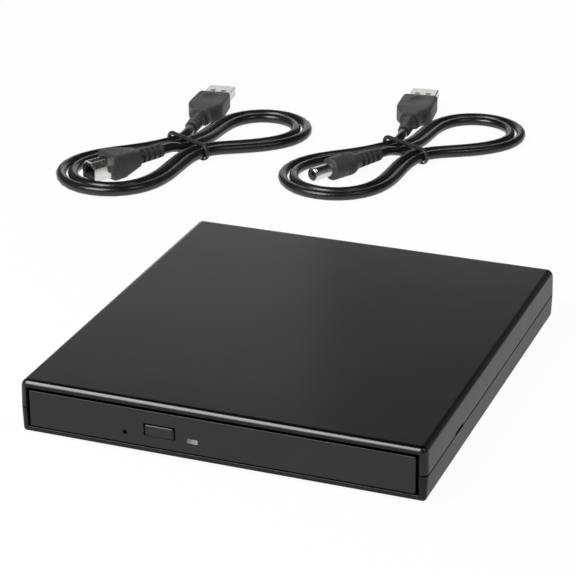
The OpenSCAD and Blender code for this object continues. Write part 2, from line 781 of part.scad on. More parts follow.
// Tube swept along points: each ring has its sides spread round the path, and the ends are closed
function unit(v) = v / norm(v);
function path_dir(p, i) = unit(p[min(i + 1, len(p) - 1)] - p[max(i - 1, 0)]);
function path_side(d) = unit(cross(d, abs(d[2]) > 0.9 ? [1, 0, 0] : [0, 0, 1]));
function ring_points(p, r, sides) = [
    for (i = [0 : len(p) - 1], k = [0 : sides - 1])
        let (d = path_dir(p, i), a = path_side(d), b = cross(a, d), t = 360 * k / sides + 180 / sides)
            p[i] + r * (cos(t) * a + sin(t) * b)
];
function ring_faces(n, sides) = [
    for (i = [0 : n - 2], k = [0 : sides - 1])
        let (a = i * sides + k, b = i * sides + (k + 1) % sides)
            each [[a, b, b + sides], [a, b + sides, a + sides]]
];
function end_faces(n, sides) = [
    for (k = [1 : sides - 2]) let (z = (n - 1) * sides) each [[0, k + 1, k], [z, z + k, z + k + 1]]
];

module tube(p, r, sides) {
    polyhedron(points = ring_points(p, r, sides),
        faces = concat(ring_faces(len(p), sides), end_faces(len(p), sides)), convexity = 10);
}

spring_y0 = ejector_y0 + push_t + wire_r + 0.1;
spring_y1 = ejector_y1 - wire_r - 0.1;
spring_path = [
    for (i = [0 : spring_coils * 8])
        let (a = i * 45, y = spring_y0 + (spring_y1 - spring_y0) * i / (spring_coils * 8))
            [ejector_x + spring_r * cos(a), y, ejector_z + spring_r * sin(a)]
];

module ejector_spring() color("silver") tube(spring_path, wire_r, 6);

// Rails and tray

channel_wall = rail_w * 0.35;
channel_end = 6;
channel_floor = 1;

module rail(side) mirror([side, 0, 0]) color([0.72, 0.73, 0.75]) difference() {
    slab(rail_x0, rail_x1, rail_y0, rail_y1, rail_z0, rail_z1);
    slab(rail_x0 + channel_wall, rail_x1 - channel_wall,
        rail_y0 + channel_end, rail_y1 - channel_end, rail_z0 + channel_floor, rail_z1 + 1);
}

module left_rail() rail(1);
module right_rail() rail(0);

// Places children in the deck's own frame: X along the pickup's travel, from the disc's middle
module on_deck() {
    translate([0, disc_y, 0]) rotate(deck_angle) children();
}

flange_over = 1;
flange_t = 0.7;
pocket_gap = 0.3;
pocket_y = bezel_y + bezel_t - flange_t - 0.2;
flange_y = pocket_y + 0.1;
stem_w = 2.4;
stem_h = 1.2;
stem_z = button_z - button_h / 2 - flange_over;
hatch_x = button_w / 2 + flange_over + pocket_gap;
hatch_z = button_h / 2 + flange_over + pocket_gap;
pipe_gap = 0.15;
deck_hole_r = turntable_d / 2 + 2.5;
slot_v = 12;
slot_edge = 0.5;
rib_y0 = ejector_y0 - 0.4 - tray_wall;
lip_z = main_z + board_t + chip_h + 0.5;
lever_x = pin_x + 3.5;
lever_y = pin_y + 16;
ear_r = 3.6;
lens_room = 6;
sled_out = disc_d / 2 - disc_rim + lens_room;
grommet_u = 17;
grommet_near_v = 13;
grommet_far_v = 15;
grommet_out = 9.5;
grommet_over = 4.5;
grommet_uv = [
    [-grommet_u, -grommet_near_v], [-grommet_u, grommet_far_v],
    [sled_out - grommet_out, -screw_v - grommet_over]
];

// Hole that the indicator window lies in
module window_hole(y0, y1) {
    slab(window_x - window_w / 2 - pipe_gap, window_x + window_w / 2 + pipe_gap, y0, y1,
        window_z - window_h / 2 - pipe_gap, window_z + window_h / 2 + pipe_gap);
}

module tray() color([0.14, 0.14, 0.14]) {
    difference() {
        slab(-tray_x, tray_x, tray_y0, tray_y1, tray_z0, tray_z1);
        // hollow for the disc, with the recess for small discs
        post(0, disc_y, bowl_z, tray_z1 + 1, bowl_r);
        post(0, disc_y, bowl_z - small_step, tray_z1, small_disc_d / 2 + bowl_gap);
        // open underside, grooves for the rails, and a rear lip that clears the main board
        slab(-cavity_x, cavity_x, cavity_y0, cavity_y1, tray_z0 - 1, under_z);
        slab(-cavity_x, cavity_x, cavity_y1 - 1, tray_y1 + 1, tray_z0 - 1, lip_z);
        // notch in the lip, over the ribbon
        slab(ribbon_x - ribbon_w / 2 - 1, ribbon_x + ribbon_w / 2 + 1, cavity_y1 - 1, tray_y1 + 1,
            lip_z - 1, under_z);
        for (side = [0, 1]) mirror([side, 0, 0])
            slab(groove_x, tray_x + 1, tray_y0 + tray_wall, tray_y1 + 1,
                rail_z0 - run_gap, rail_z1 + run_gap);
        // way through for the turntable and the pickup
        intersection() {
            union() {
                post(0, disc_y, under_z - 1, bowl_z + 1, deck_hole_r);
                on_deck() slab(0, sled_out, -slot_v, slot_v, under_z - 1, bowl_z + 1);
            }
            post(0, disc_y, under_z - 2, bowl_z + 2, bowl_r - slot_edge);
        }
        // windows in the front wall
        slab(button_x - hatch_x, button_x + hatch_x, tray_y0 - 1, cavity_y0 + 1,
            button_z - hatch_z, button_z + hatch_z);
        window_hole(tray_y0 - 1, cavity_y0 + 1);
        bar_y(pinhole_x, pinhole_z, tray_y0 - 1, cavity_y0 + 1, pinhole_d / 2 + 0.2);
    }
    // rib that the ejector pushes on
    slab(ejector_x - bracket_w / 2, ejector_x + bracket_w / 2, rib_y0, rib_y0 + tray_wall,
        tray_z0 + run_gap, under_z + eps);
    // pivot of the latch and posts of the deck
    post(lever_x, lever_y, tray_z0 + run_gap, under_z + eps, post_r);
    on_deck() for (p = grommet_uv) post(p[0], p[1], deck_z0, under_z + eps, post_r);
    // hangers of the tray board
    for (x = [board_x0 + 2 * hanger, board_x1 - 2 * hanger]) {
        slab(x - hanger, x + hanger, board_y0 + hanger, board_y1 - hanger, board_z1, under_z + eps);
    }
}

module bezel() color([0.2, 0.2, 0.2]) difference() {
    hull() {
        slab(-bezel_w / 2, bezel_w / 2, bezel_y + bezel_bevel, tray_y0, bezel_z0, bezel_z1);
        slab(-bezel_w / 2 + bezel_bevel, bezel_w / 2 - bezel_bevel, bezel_y, tray_y0,
            bezel_z0 + bezel_bevel, bezel_z1 - bezel_bevel);
    }
    slab(button_x - button_w / 2 - button_gap, button_x + button_w / 2 + button_gap, bezel_y - 1, tray_y0 + 1,
        button_z - button_h / 2 - button_gap, button_z + button_h / 2 + button_gap);
    slab(button_x - hatch_x, button_x + hatch_x, pocket_y, tray_y0 + 1,
        button_z - hatch_z, button_z + hatch_z);
    window_hole(bezel_y - 1, tray_y0 + 1);
    bar_y(pinhole_x, pinhole_z, bezel_y - 1, tray_y0 + 1, pinhole_d / 2);
}

board_x0 = pinhole_x + 2.25;
board_x1 = window_x + 5;
board_y0 = cavity_y0 + 0.3;
board_y1 = board_y0 + 6;
board_z1 = under_z - 0.3;
board_z0 = board_z1 - board_t;
lamp_w = 1.6;
lamp_h = 0.8;
lamp_d = 1;
lamp_set = 0.1;
hanger = 1;
switch_w = 6;
switch_d = 3.6;
switch_h = board_z0 - stem_z + 0.2;
nub_l = 0.3;
nub_w = 1.6;
nub_inset = 0.1;
switch_y0 = board_y0 + 0.8;
stem_y1 = switch_y0 - nub_l - 0.05 - button_travel;

module indicator_window() color([0.72, 0.72, 0.74])
    slab(window_x - window_w / 2, window_x + window_w / 2, bezel_y + 0.1, cavity_y0 + 0.2,
        window_z - window_h / 2, window_z + window_h / 2);

module indicator_lamp() color([0.9, 0.95, 0.85])
    slab(window_x - lamp_w / 2, window_x + lamp_w / 2, board_y0 + lamp_set, board_y0 + lamp_set + lamp_d,
        board_z0 - lamp_h, board_z0);

module tray_board() color([0.06, 0.32, 0.18])
    slab(board_x0, board_x1, board_y0, board_y1, board_z0, board_z1);

module eject_switch() color([0.8, 0.8, 0.78]) {
    slab(button_x - switch_w / 2, button_x + switch_w / 2, switch_y0, switch_y0 + switch_d,
        board_z0 - switch_h, board_z0);
    slab(button_x - nub_w / 2, button_x + nub_w / 2, switch_y0 - nub_l, switch_y0 + eps,
        stem_z + nub_inset, stem_z + stem_h - nub_inset);
}

module eject_button() color([0.2, 0.2, 0.2]) {
    slab(button_x - button_w / 2, button_x + button_w / 2, bezel_y - button_proud, flange_y + eps,
        button_z - button_h / 2, button_z + button_h / 2);
    slab(button_x - button_w / 2 - flange_over, button_x + button_w / 2 + flange_over,
        flange_y, flange_y + flange_t,
        button_z - button_h / 2 - flange_over, button_z + button_h / 2 + flange_over);
    slab(button_x - stem_w / 2, button_x + stem_w / 2, flange_y, stem_y1, stem_z, stem_z + stem_h);
}

// Deck under the tray

deck_z0 = tray_z0 + 0.1;
deck_z1 = deck_z0 + deck_t;
cover_z1 = under_z - 0.2;
cover_z0 = cover_z1 - cover_t;
rod_z = deck_z1 + run_gap + rod_r + 0.1;
rod_u0 = 14.5;
rod_u1 = sled_out + 1;
block_t = 1.5;
motor_edge = 3;
table_edge = 1.5;
plate_u0 = -max(motor_d / 2 + motor_edge, turntable_d / 2 + table_edge);
plate_edge = 4;
plate_v1 = max(rod_v + plate_edge, turntable_d / 2 + table_edge);
sled_u0 = lens_in - 8;
sled_u1 = lens_in + 5.2;
sled_v = rod_v + 1.7;
sled_z0 = deck_z1 + run_gap;
sled_z1 = cover_z0 - run_gap;
window_v = 8.5;
screw_u0 = 18.4;
screw_u1 = rod_u1 - 2;
feed_motor_r = rod_z - deck_z1;
feed_motor_l = 13;

// Bar along the pickup's travel
module bar_u(v, z, u0, u1, r) {
    translate([u0, v, z]) rotate([0, 90, 0]) cylinder(r = r, h = u1 - u0);
}

// Room for the deck inside the tray's underside
module deck_room(z0, z1) {
    slab(-cavity_x + 0.4, cavity_x - 0.4, cavity_y0 + 0.4, cavity_y1 - 0.4, z0, z1);
}

module deck() color([0.6, 0.61, 0.63]) {
    difference() {
        union() {
            intersection() {
                on_deck() slab(plate_u0, rod_u1 + block_t, -screw_v - plate_edge, plate_v1,
                    deck_z0, deck_z1);
                deck_room(deck_z0 - 1, deck_z1 + 1);
            }
            on_deck() for (p = grommet_uv) post(p[0], p[1], deck_z0, deck_z1, ear_r);
        }
        on_deck() {
            slab(sled_u0 - 1, sled_out - 1, -window_v, window_v, deck_z0 - 1, deck_z1 + 1);
            for (p = grommet_uv) post(p[0], p[1], deck_z0 - 1, deck_z1 + 1, post_r + run_gap);
        }
    }
    // blocks that hold the guide rods and the far end of the lead screw
    on_deck() {
        for (u = [rod_u0 - block_t, rod_u1 - block_t], s = [-1, 1]) difference() {
            slab(u, u + block_t, s * rod_v - 1.6, s * rod_v + 1.6, deck_z1 - eps, rod_z + rod_r + 0.4);
            bar_u(s * rod_v, rod_z, u - 1, u + block_t + 1, rod_r + eps);
        }
        difference() {
            slab(screw_u1 - 0.5, screw_u1 + 1, -screw_v - 1.6, -screw_v + 1.6, deck_z1 - eps, rod_z + 1.2);
            bar_u(-screw_v, rod_z, screw_u1 - 1, screw_u1 + 2, journal_r + bearing_gap);
        }
        // pillars under the cover plate
        for (p = pillar_uv) post(p[0], p[1], deck_z1 - eps, cover_z0, 1);
    }
}

journal_r = 0.6;
pillar_set = 1.3;
pillar_back = -plate_u0 - pillar_set;
pillar_near = 8;
pillar_out = 21.5;
pillar_v = rod_v + 3;
pillar_end = 0.6;
pillar_uv = [
    [-pillar_back, 0], [sled_out - pillar_out, pillar_v], [pillar_near, pillar_v],
    [rod_u1 - pillar_end, -(rod_v + screw_v) / 2]
];

module deck_cover() color([0.66, 0.67, 0.69]) difference() {
    intersection() {
        on_deck() slab(plate_u0, rod_u1 + 1, -screw_v - 2, plate_v1, cover_z0, cover_z1);
        deck_room(cover_z0 - 1, cover_z1 + 1);
    }
    post(0, disc_y, cover_z0 - 1, cover_z1 + 1, turntable_d / 2 + 0.8);
    on_deck() {
        slab(0, sled_out - 1, -holder_w / 2 - 2, holder_w / 2 + 2, cover_z0 - 1, cover_z1 + 1);
        for (p = grommet_uv) post(p[0], p[1], cover_z0 - 1, cover_z1 + 1, grommet_r + 0.4);
    }
}

module deck_grommets() color([0.1, 0.1, 0.1]) on_deck() for (p = grommet_uv) difference() {
    post(p[0], p[1], deck_z1, under_z, grommet_r);
    post(p[0], p[1], deck_z1 - 1, under_z + 1, post_r + eps);
}

module guide_rods() color("silver") on_deck()
    for (s = [-1, 1]) bar_u(s * rod_v, rod_z, rod_u0 - block_t, rod_u1, rod_r);

rotor_z = cover_z1 + 0.3;
ring_h = 0.25;

module spindle_motor() color([0.55, 0.56, 0.58]) difference() {
    post(0, disc_y, deck_z1, cover_z0 - 0.2, motor_d / 2);
    post(0, disc_y, deck_z1 - 1, cover_z1, shaft_r + bearing_gap);
    on_deck() slab(sled_u0 - 1 - run_gap - 3, motor_d, -sled_v - 1, sled_v + 1, deck_z1 - 1, cover_z1);
}

module feed_motor() color([0.7, 0.71, 0.73]) on_deck() difference() {
    bar_u(-screw_v, rod_z, screw_u0 - 0.6 - feed_motor_l, screw_u0 - 0.6, feed_motor_r);
    bar_u(-screw_v, rod_z, screw_u0 - 4, screw_u0, journal_r + bearing_gap);
}

module lead_screw() color("silver") on_deck() {
    bar_u(-screw_v, rod_z, screw_u0 - 3.6, screw_u1 + 1, journal_r);
    bar_u(-screw_v, rod_z, screw_u0, screw_u1 - 1, screw_r);
}

solenoid_x0 = lever_x + 5.2;
solenoid_w = 9;
solenoid_y0 = board_y1 + 1.5;
solenoid_d = 11;
solenoid_z0 = tray_z0 + 0.5;
yoke_t = 1.2;
yoke_step = 0.7;
lever_t = 1.4;
lever_z0 = deck_z1 + 0.2;
hook_l = pin_r + 1.3;
hook_gap = 0.6;
arm_w = 2;
hook_y = pin_y - lever_y + pin_r + hook_gap;

module latch_solenoid() color([0.5, 0.32, 0.16]) difference() {
    slab(solenoid_x0, solenoid_x0 + solenoid_w, solenoid_y0, solenoid_y0 + solenoid_d, solenoid_z0, under_z);
    slab(solenoid_x0 + yoke_t, solenoid_x0 + solenoid_w + 1, solenoid_y0 + 2, solenoid_y0 + solenoid_d - 2,
        solenoid_z0 - 1, solenoid_z0 + yoke_step);
}

// Latch, swung clear of its pin; turned back by its swing, its hook stands behind the pin
module latch_lever() color([0.8, 0.8, 0.78])
    translate([lever_x, lever_y, lever_z0]) rotate(latch_swing) difference() {
    union() {
        cylinder(r = post_r + 1.2, h = lever_t);
        slab(-arm_w / 2, arm_w / 2, hook_y, 0, 0, lever_t);
        slab(-(lever_x - pin_x) - hook_l + 1, arm_w / 2, hook_y, hook_y + arm_w, 0, lever_t);
    }
    translate([0, 0, -1]) cylinder(r = post_r + bearing_gap, h = lever_t + 2);
}

// Turntable and claws

claw_z0 = disc_z + 0.5;
claw_z1 = disc_z + hub_h - 0.3;
claw_r0 = hub_d / 2 - 4;
claw_gap = 0.25;

module turntable() color([0.16, 0.16, 0.17]) translate([0, disc_y, 0]) difference() {
    union() {
        translate([0, 0, rotor_z]) cylinder(r = turntable_d / 2, h = disc_z - ring_h - rotor_z);
        translate([0, 0, rotor_z]) cylinder(r = hub_d / 2, h = disc_z + hub_h - rotor_z);
        translate([0, 0, deck_z1 + 0.2]) cylinder(r = shaft_r, h = rotor_z - deck_z1);
    }
    for (k = [0 : 2]) rotate(120 * k) {
        slab(claw_r0 - claw_travel - 0.6, hub_d, -claw_w / 2 - claw_gap, claw_w / 2 + claw_gap,
            claw_z0 - claw_gap, disc_z + hub_h + 1);
    }
    translate([0, 0, disc_z + hub_h - 0.6]) cylinder(r = 1.2, h = 1);
}

module turntable_ring() color([0.3, 0.3, 0.32]) translate([0, disc_y, disc_z - ring_h]) difference() {
    cylinder(r = turntable_d / 2 - 0.4, h = ring_h);
    translate([0, 0, -1]) cylinder(r = turntable_d / 2 - 4, h = ring_h + 2);
}

module clamp_claw(k) color([0.75, 0.75, 0.73]) translate([0, disc_y, 0]) rotate(120 * k) {
    slab(claw_r0, hub_d / 2 - 0.2, -claw_w / 2, claw_w / 2, claw_z0, claw_z1);
    translate([hub_d / 2 - 0.2 - eps, 0, (claw_z0 + claw_z1) / 2 + 0.3]) rotate([90, 0, 0])
        translate([0, 0, -claw_w / 2]) linear_extrude(claw_w)
            polygon([[0, -0.8], [claw_nose + 0.2, -0.1], [claw_nose + 0.2, 0.1], [0, 0.4]]);
}

module clamp_claw_1() clamp_claw(0);
module clamp_claw_2() clamp_claw(1);
module clamp_claw_3() clamp_claw(2);

// Pickup

well_gap = 0.4;
holder_z0 = sled_z0 + 0.6 + focus_travel;
holder_z1 = cover_z1 + 0.5;
lens_seat = 0.5;
nut_w = 5;
nut_gap = 0.3;

module pickup_sled() color([0.45, 0.46, 0.48]) on_deck() {
    difference() {
        union() {
            slab(sled_u0, sled_u1, -sled_v, sled_v, sled_z0, sled_z1);
            slab(lens_in - nut_w / 2, lens_in + nut_w / 2, -screw_v + screw_r + nut_gap, -sled_v + eps,
                rod_z - 0.8, rod_z + 0.8);
        }
        for (s = [-1, 1]) bar_u(s * rod_v, rod_z, sled_u0 - 1, sled_u1 + 1, rod_r + bearing_gap);
        slab(lens_in - holder_w / 2 - well_gap, lens_in + holder_w / 2 + well_gap,
            -holder_w / 2 - well_gap, holder_w / 2 + well_gap, sled_z0 + 0.3, sled_z1 + 1);
    }
}

module lens_holder() color([0.12, 0.12, 0.12]) on_deck() translate([lens_in, 0, 0]) difference() {
    slab(-holder_w / 2, holder_w / 2, -holder_w / 2, holder_w / 2, holder_z0, holder_z1);
    translate([0, 0, holder_z1 - lens_seat]) cylinder(r = lens_d / 2 + 0.02, h = 1);
    translate([0, 0, holder_z0 - 1]) cylinder(r = lens_d / 2 - 0.8, h = 10);
}

lens_cap = 0.5;
lens_ball = (pow(lens_d / 2 - 0.4, 2) + pow(lens_cap, 2)) / (2 * lens_cap);

module objective_lens() color([0.5, 0.6, 0.75]) on_deck() translate([lens_in, 0, holder_z1 - lens_seat]) {
    cylinder(r = lens_d / 2, h = lens_seat);
    intersection() {
        translate([0, 0, lens_seat + lens_cap - lens_ball]) sphere(r = lens_ball);
        translate([0, 0, lens_seat - eps]) cylinder(r = lens_d / 2 - 0.4, h = lens_cap + 1);
    }
}

// Leads: each is one cord wound into a hank of turns that lie side by side, drawn in at a tied waist

data_place = [-118, 178];
power_place = [-31, 205];
lead_angle = 61.5;
turn_rings = 24;
pinch = 1 - waist_w / lobe_w;
taper = 0.36;
rounding = 0.14;
waist_slope = 14;
plug_turn = 36;
plug_bend_r = 16.5;
plug_bend_s = 0.5;
seat_over = 0.8;
far_s = -14;
far_level_s = -10;

// Outline of the outer turn, the way it runs, and a turn's points, each turn one step inside the last
function hank_edge(a) = [
    hank_l / 2 * cos(a) * (1 - taper * pow(sin(a), 2) - rounding * pow(sin(a) * cos(a), 2)),
    lobe_w / 2 * sin(a) * (1 - pinch * pow(sin(a), 2))
];
function hank_way(a) = unit([
    -hank_l / 2 * sin(a) * (1 + taper * (2 - 3 * pow(sin(a), 2))
                            + rounding * pow(cos(a), 2) * (2 - 5 * pow(sin(a), 2))),
    lobe_w / 2 * cos(a) * (1 - 3 * pinch * pow(sin(a), 2))
]);
function lift(s) = (tie_t + tie_gap) * exp(-pow(s / waist_slope, 2));
function hank_point(a, d) =
    let (w = hank_way(a), p = hank_edge(a) + [-w[1], w[0]] * (d + turn_gap) * (a - 90) / 360)
        [p[0], p[1], d / 2 + lift(p[0])];
function hank_turns(d) = [for (i = [0 : turns * turn_rings]) hank_point(90 + 360 * i / turn_rings, d)];
// From the A-type plug, straight for a diameter and round to the waist
function plug_bend(a) = [plug_bend_s + plug_bend_r * sin(a), waist_w / 2 + plug_bend_r * (1 - cos(a))];
function plug_seat(d) = plug_bend(plug_turn) + (d + seat_over) * [cos(plug_turn), sin(plug_turn)];
function plug_run(d) = [
    for (p = [plug_seat(d), plug_seat(d) - d * [cos(plug_turn), sin(plug_turn)]]) [p[0], p[1], grip_h / 2],
    for (a = [plug_turn * 2 / 3, plug_turn / 3, 0])
        let (p = plug_bend(a), w = a / plug_turn)
            [p[0], p[1], w * grip_h / 2 + (1 - w) * (d / 2 + lift(p[0]))]
];
// From the last turn, straight into the plug at the other end
function far_t(d) = waist_w / 2 - turns * (d + turn_gap);
function far_run(d, z) = [
    [far_level_s / 2, far_t(d), (z + d / 2 + lift(0)) / 2],
    [far_level_s, far_t(d), z],
    [far_s, far_t(d), z]
];
function lead_path(d, z) = concat(plug_run(d), hank_turns(d), far_run(d, z));
function path_length(p) =
    [for (i = [1 : len(p) - 1]) norm(p[i] - p[i - 1])] * [for (i = [1 : len(p) - 1]) 1];
// Least gap between stretches of one cord that are at least some rings apart
function least_gap(p, d, apart) = min([
    for (i = [0 : len(p) - 1 - apart], j = [i + apart : len(p) - 1]) norm(p[i] - p[j]) - d
]);

data_path = lead_path(data_cord_d, b_grip_h / 2);
power_path = lead_path(power_cord_d, barrel_grip_d / 2);
echo(data_lead_length = path_length(data_path), data_lead_gap = least_gap(data_path, data_cord_d, 8));
echo(power_lead_length = path_length(power_path), power_lead_gap = least_gap(power_path, power_cord_d, 8));
echo(spring_gap = least_gap(spring_path, 2 * wire_r, 6));

module on_lead(place) {
    translate([place[0], place[1], 0]) rotate(lead_angle) children();
}

// Frame of an A-type plug: X from the cord's end outwards, Z up from the table
module on_plug(place, d) {
    p = plug_seat(d);
    on_lead(place) translate([p[0], p[1], 0]) rotate(plug_turn) children();
}

// Frame of the plug at the other end
module on_far_plug(place, d) {
    on_lead(place) translate([far_s, far_t(d), 0]) rotate(180) children();
}

black = [0.08, 0.08, 0.08];
relief_r = 3.4;
relief_wall = 0.8;
round_r = 1.2;
round_fn = 16;
full_share = 0.4;

// Tapered strain relief with rings
module relief(d, z) {
    translate([0, 0, z]) rotate([0, 90, 0]) {
        cylinder(r1 = d / 2 + relief_wall, r2 = relief_r - 0.3, h = relief_l + eps);
        for (k = [1 : 3]) translate([0, 0, relief_l * k / 4]) cylinder(r = relief_r - 0.6 + 0.1 * k, h = 1.4);
    }
}

// Block along X with rounded edges, narrower at its start
module soft_block(x0, x1, w0, w1, h0, h1, z) {
    hull() for (sy = [-1, 1], sz = [-1, 1]) {
        for (p = [[x0 + round_r, w0, h0], [x0 + (x1 - x0) * full_share, w1, h1], [x1 - round_r, w1, h1]]) {
            translate([p[0], sy * (p[1] / 2 - round_r), z + sz * (p[2] / 2 - round_r)])
                sphere(r = round_r, $fn = round_fn);
        }
    }
}

tongue_plug_t = 1.9;
plug_x0 = relief_l + grip_l;
plug_mid = grip_h / 2;
hole_w = 2.2;
hole_x = 4.6;
hole_y = 2.4;

module plug_grip(place, d) color(black) on_plug(place, d) {
    relief(d, plug_mid);
    soft_block(relief_l - round_r, plug_x0, 2 * relief_r + 2, grip_w, 2 * relief_r, grip_h, plug_mid);
}

module plug_shell(place, d) color("silver") on_plug(place, d) difference() {
    slab(plug_x0, plug_x0 + plug_l, -plug_w / 2, plug_w / 2, plug_mid - plug_h / 2, plug_mid + plug_h / 2);
    slab(plug_x0 - 1, plug_x0 + plug_l + 1, -plug_w / 2 + plug_sheet, plug_w / 2 - plug_sheet,
        plug_mid - plug_h / 2 + plug_sheet, plug_mid + plug_h / 2 - plug_sheet);
    for (s = [-1, 1]) {
        slab(plug_x0 + hole_x, plug_x0 + hole_x + hole_w, s * hole_y - hole_w / 2, s * hole_y + hole_w / 2,
            0, grip_h);
    }
}

module plug_tongue(place, d) on_plug(place, d)
    slab(plug_x0, plug_x0 + plug_l - 0.4, -plug_w / 2 + plug_sheet, plug_w / 2 - plug_sheet,
        plug_mid - plug_h / 2 + plug_sheet, plug_mid - plug_h / 2 + plug_sheet + tongue_plug_t);

// Band round the waist, under and over every strand
module tie(place, d) color(black) on_lead(place) {
    t0 = -(waist_w - d - turn_gap) / 2 - d / 2 - tie_gap - tie_t;
    t1 = waist_w / 2 + d / 2 + tie_gap + tie_t;
    h = 2 * (tie_t + tie_gap) + d;
    translate([0, (t0 + t1) / 2, h / 2]) rotate([90, 0, 90]) difference() {
        round_plate(t1 - t0, h, tie_w, h / 2 - eps);
        translate([0, 0, -1]) round_plate(t1 - t0 - 2 * tie_t, h - 2 * tie_t, tie_w + 2, h / 2 - tie_t - eps);
    }
}

module data_cord() color(black) on_lead(data_place) tube(data_path, data_cord_d / 2, 6);
module data_tie() tie(data_place, data_cord_d);
module data_plug_grip() plug_grip(data_place, data_cord_d);
module data_plug_shell() plug_shell(data_place, data_cord_d);
module plug_tongues() color([0.9, 0.9, 0.9]) {
    plug_tongue(data_place, data_cord_d);
    plug_tongue(power_place, power_cord_d);
}

b_mid = b_grip_h / 2;
b_x0 = relief_l + b_grip_l;
b_chamfer = 2.2;
b_hole_w = 5.8;
b_hole_h = 3.4;

// Outline of the square plug's shell, with its two upper corners cut off
function square_outline(w, h, c) = [
    [-w / 2, -h / 2], [w / 2, -h / 2], [w / 2, h / 2 - c],
    [w / 2 - c, h / 2], [-w / 2 + c, h / 2], [-w / 2, h / 2 - c]
];

module square_plug_grip() color(black) on_far_plug(data_place, data_cord_d) {
    relief(data_cord_d, b_mid);
    soft_block(relief_l - round_r, b_x0, 2 * relief_r + 1, b_grip_w, 2 * relief_r + 1, b_grip_h, b_mid);
}

module square_plug_shell() color("silver") on_far_plug(data_place, data_cord_d)
    translate([b_x0, 0, b_mid]) rotate([90, 0, 90]) difference() {
        linear_extrude(b_shell_l) polygon(square_outline(b_shell_w, b_shell_h, b_chamfer));
        translate([0, 0, -1]) linear_extrude(b_shell_l + 2)
            polygon(square_outline(b_shell_w - 2 * plug_sheet, b_shell_h - 2 * plug_sheet, b_chamfer));
    }

module square_plug_tongue() color([0.15, 0.15, 0.16]) on_far_plug(data_place, data_cord_d)
    translate([b_x0, 0, b_mid]) rotate([90, 0, 90]) difference() {
        linear_extrude(b_shell_l - 0.6)
            polygon(square_outline(b_shell_w - 2 * plug_sheet, b_shell_h - 2 * plug_sheet, b_chamfer));
        translate([-b_hole_w / 2, -b_hole_h / 2, 1]) cube([b_hole_w, b_hole_h, b_shell_l]);
    }

module power_cord() color(black) on_lead(power_place) tube(power_path, power_cord_d / 2, 6);
module power_tie() tie(power_place, power_cord_d);
module power_plug_grip() plug_grip(power_place, power_cord_d);
module power_plug_shell() plug_shell(power_place, power_cord_d);

barrel_mid = barrel_grip_d / 2;
barrel_x0 = relief_l + barrel_grip_l;
sleeve_t = 0.5;
rib_step = 2.4;
rib_depth = 0.5;

module barrel_plug_grip() color(black) on_far_plug(power_place, power_cord_d) {
    relief(power_cord_d, barrel_mid);
    translate([relief_l - eps, 0, barrel_mid]) rotate([0, 90, 0]) {
        difference() {
            cylinder(r = barrel_grip_d / 2, h = barrel_grip_l + eps);
            for (k = [1 : 3]) translate([0, 0, k * rib_step]) difference() {
                cylinder(r = barrel_grip_d, h = rib_step / 3);
                translate([0, 0, -1]) cylinder(r = barrel_grip_d / 2 - rib_depth, h = rib_step + 2);
            }
            translate([0, 0, barrel_grip_l - 6]) cylinder(r = barrel_bore_d / 2, h = 10);
        }
        translate([0, 0, barrel_grip_l]) difference() {
            cylinder(r = barrel_d / 2 - sleeve_t, h = barrel_l - 0.4);
            translate([0, 0, -1]) cylinder(r = barrel_bore_d / 2, h = barrel_l + 2);
        }
    }
}

module barrel_plug_sleeve() color("silver") on_far_plug(power_place, power_cord_d)
    translate([barrel_x0, 0, barrel_mid]) rotate([0, 90, 0]) difference() {
        cylinder(r = barrel_d / 2, h = barrel_l);
        translate([0, 0, -1]) cylinder(r = barrel_d / 2 - sleeve_t, h = barrel_l + 2);
    }

top_cover();
bottom_shell();
rubber_feet();
fasteners();
bridge_board();
board_chips();
drive_connector();
socket_shell();
socket_tongue();
socket_contacts();
jack_body();
jack_pin();
chassis_pan();
chassis_cover();
rail_guides();
latch_pin();
main_board();
ribbon_cable();
ejector_pusher();
ejector_spring();
left_rail();
right_rail();
tray();
bezel();
indicator_window();
indicator_lamp();
tray_board();
eject_switch();
eject_button();
deck();
deck_cover();
deck_grommets();
guide_rods();
spindle_motor();
feed_motor();
latch_solenoid();
latch_lever();
turntable();
turntable_ring();
clamp_claw_1();
clamp_claw_2();
clamp_claw_3();
pickup_sled();
lens_holder();
objective_lens();
lead_screw();
data_cord();
data_tie();
data_plug_grip();
data_plug_shell();
plug_tongues();
square_plug_grip();
square_plug_shell();
square_plug_tongue();
power_cord();
power_tie();
power_plug_grip();
power_plug_shell();
barrel_plug_grip();
barrel_plug_sleeve();
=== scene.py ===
"""Looks of a slim external disc drive and its two tied leads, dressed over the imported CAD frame."""
import json
import math

import bmesh
import bpy
from mathutils import Matrix, Vector

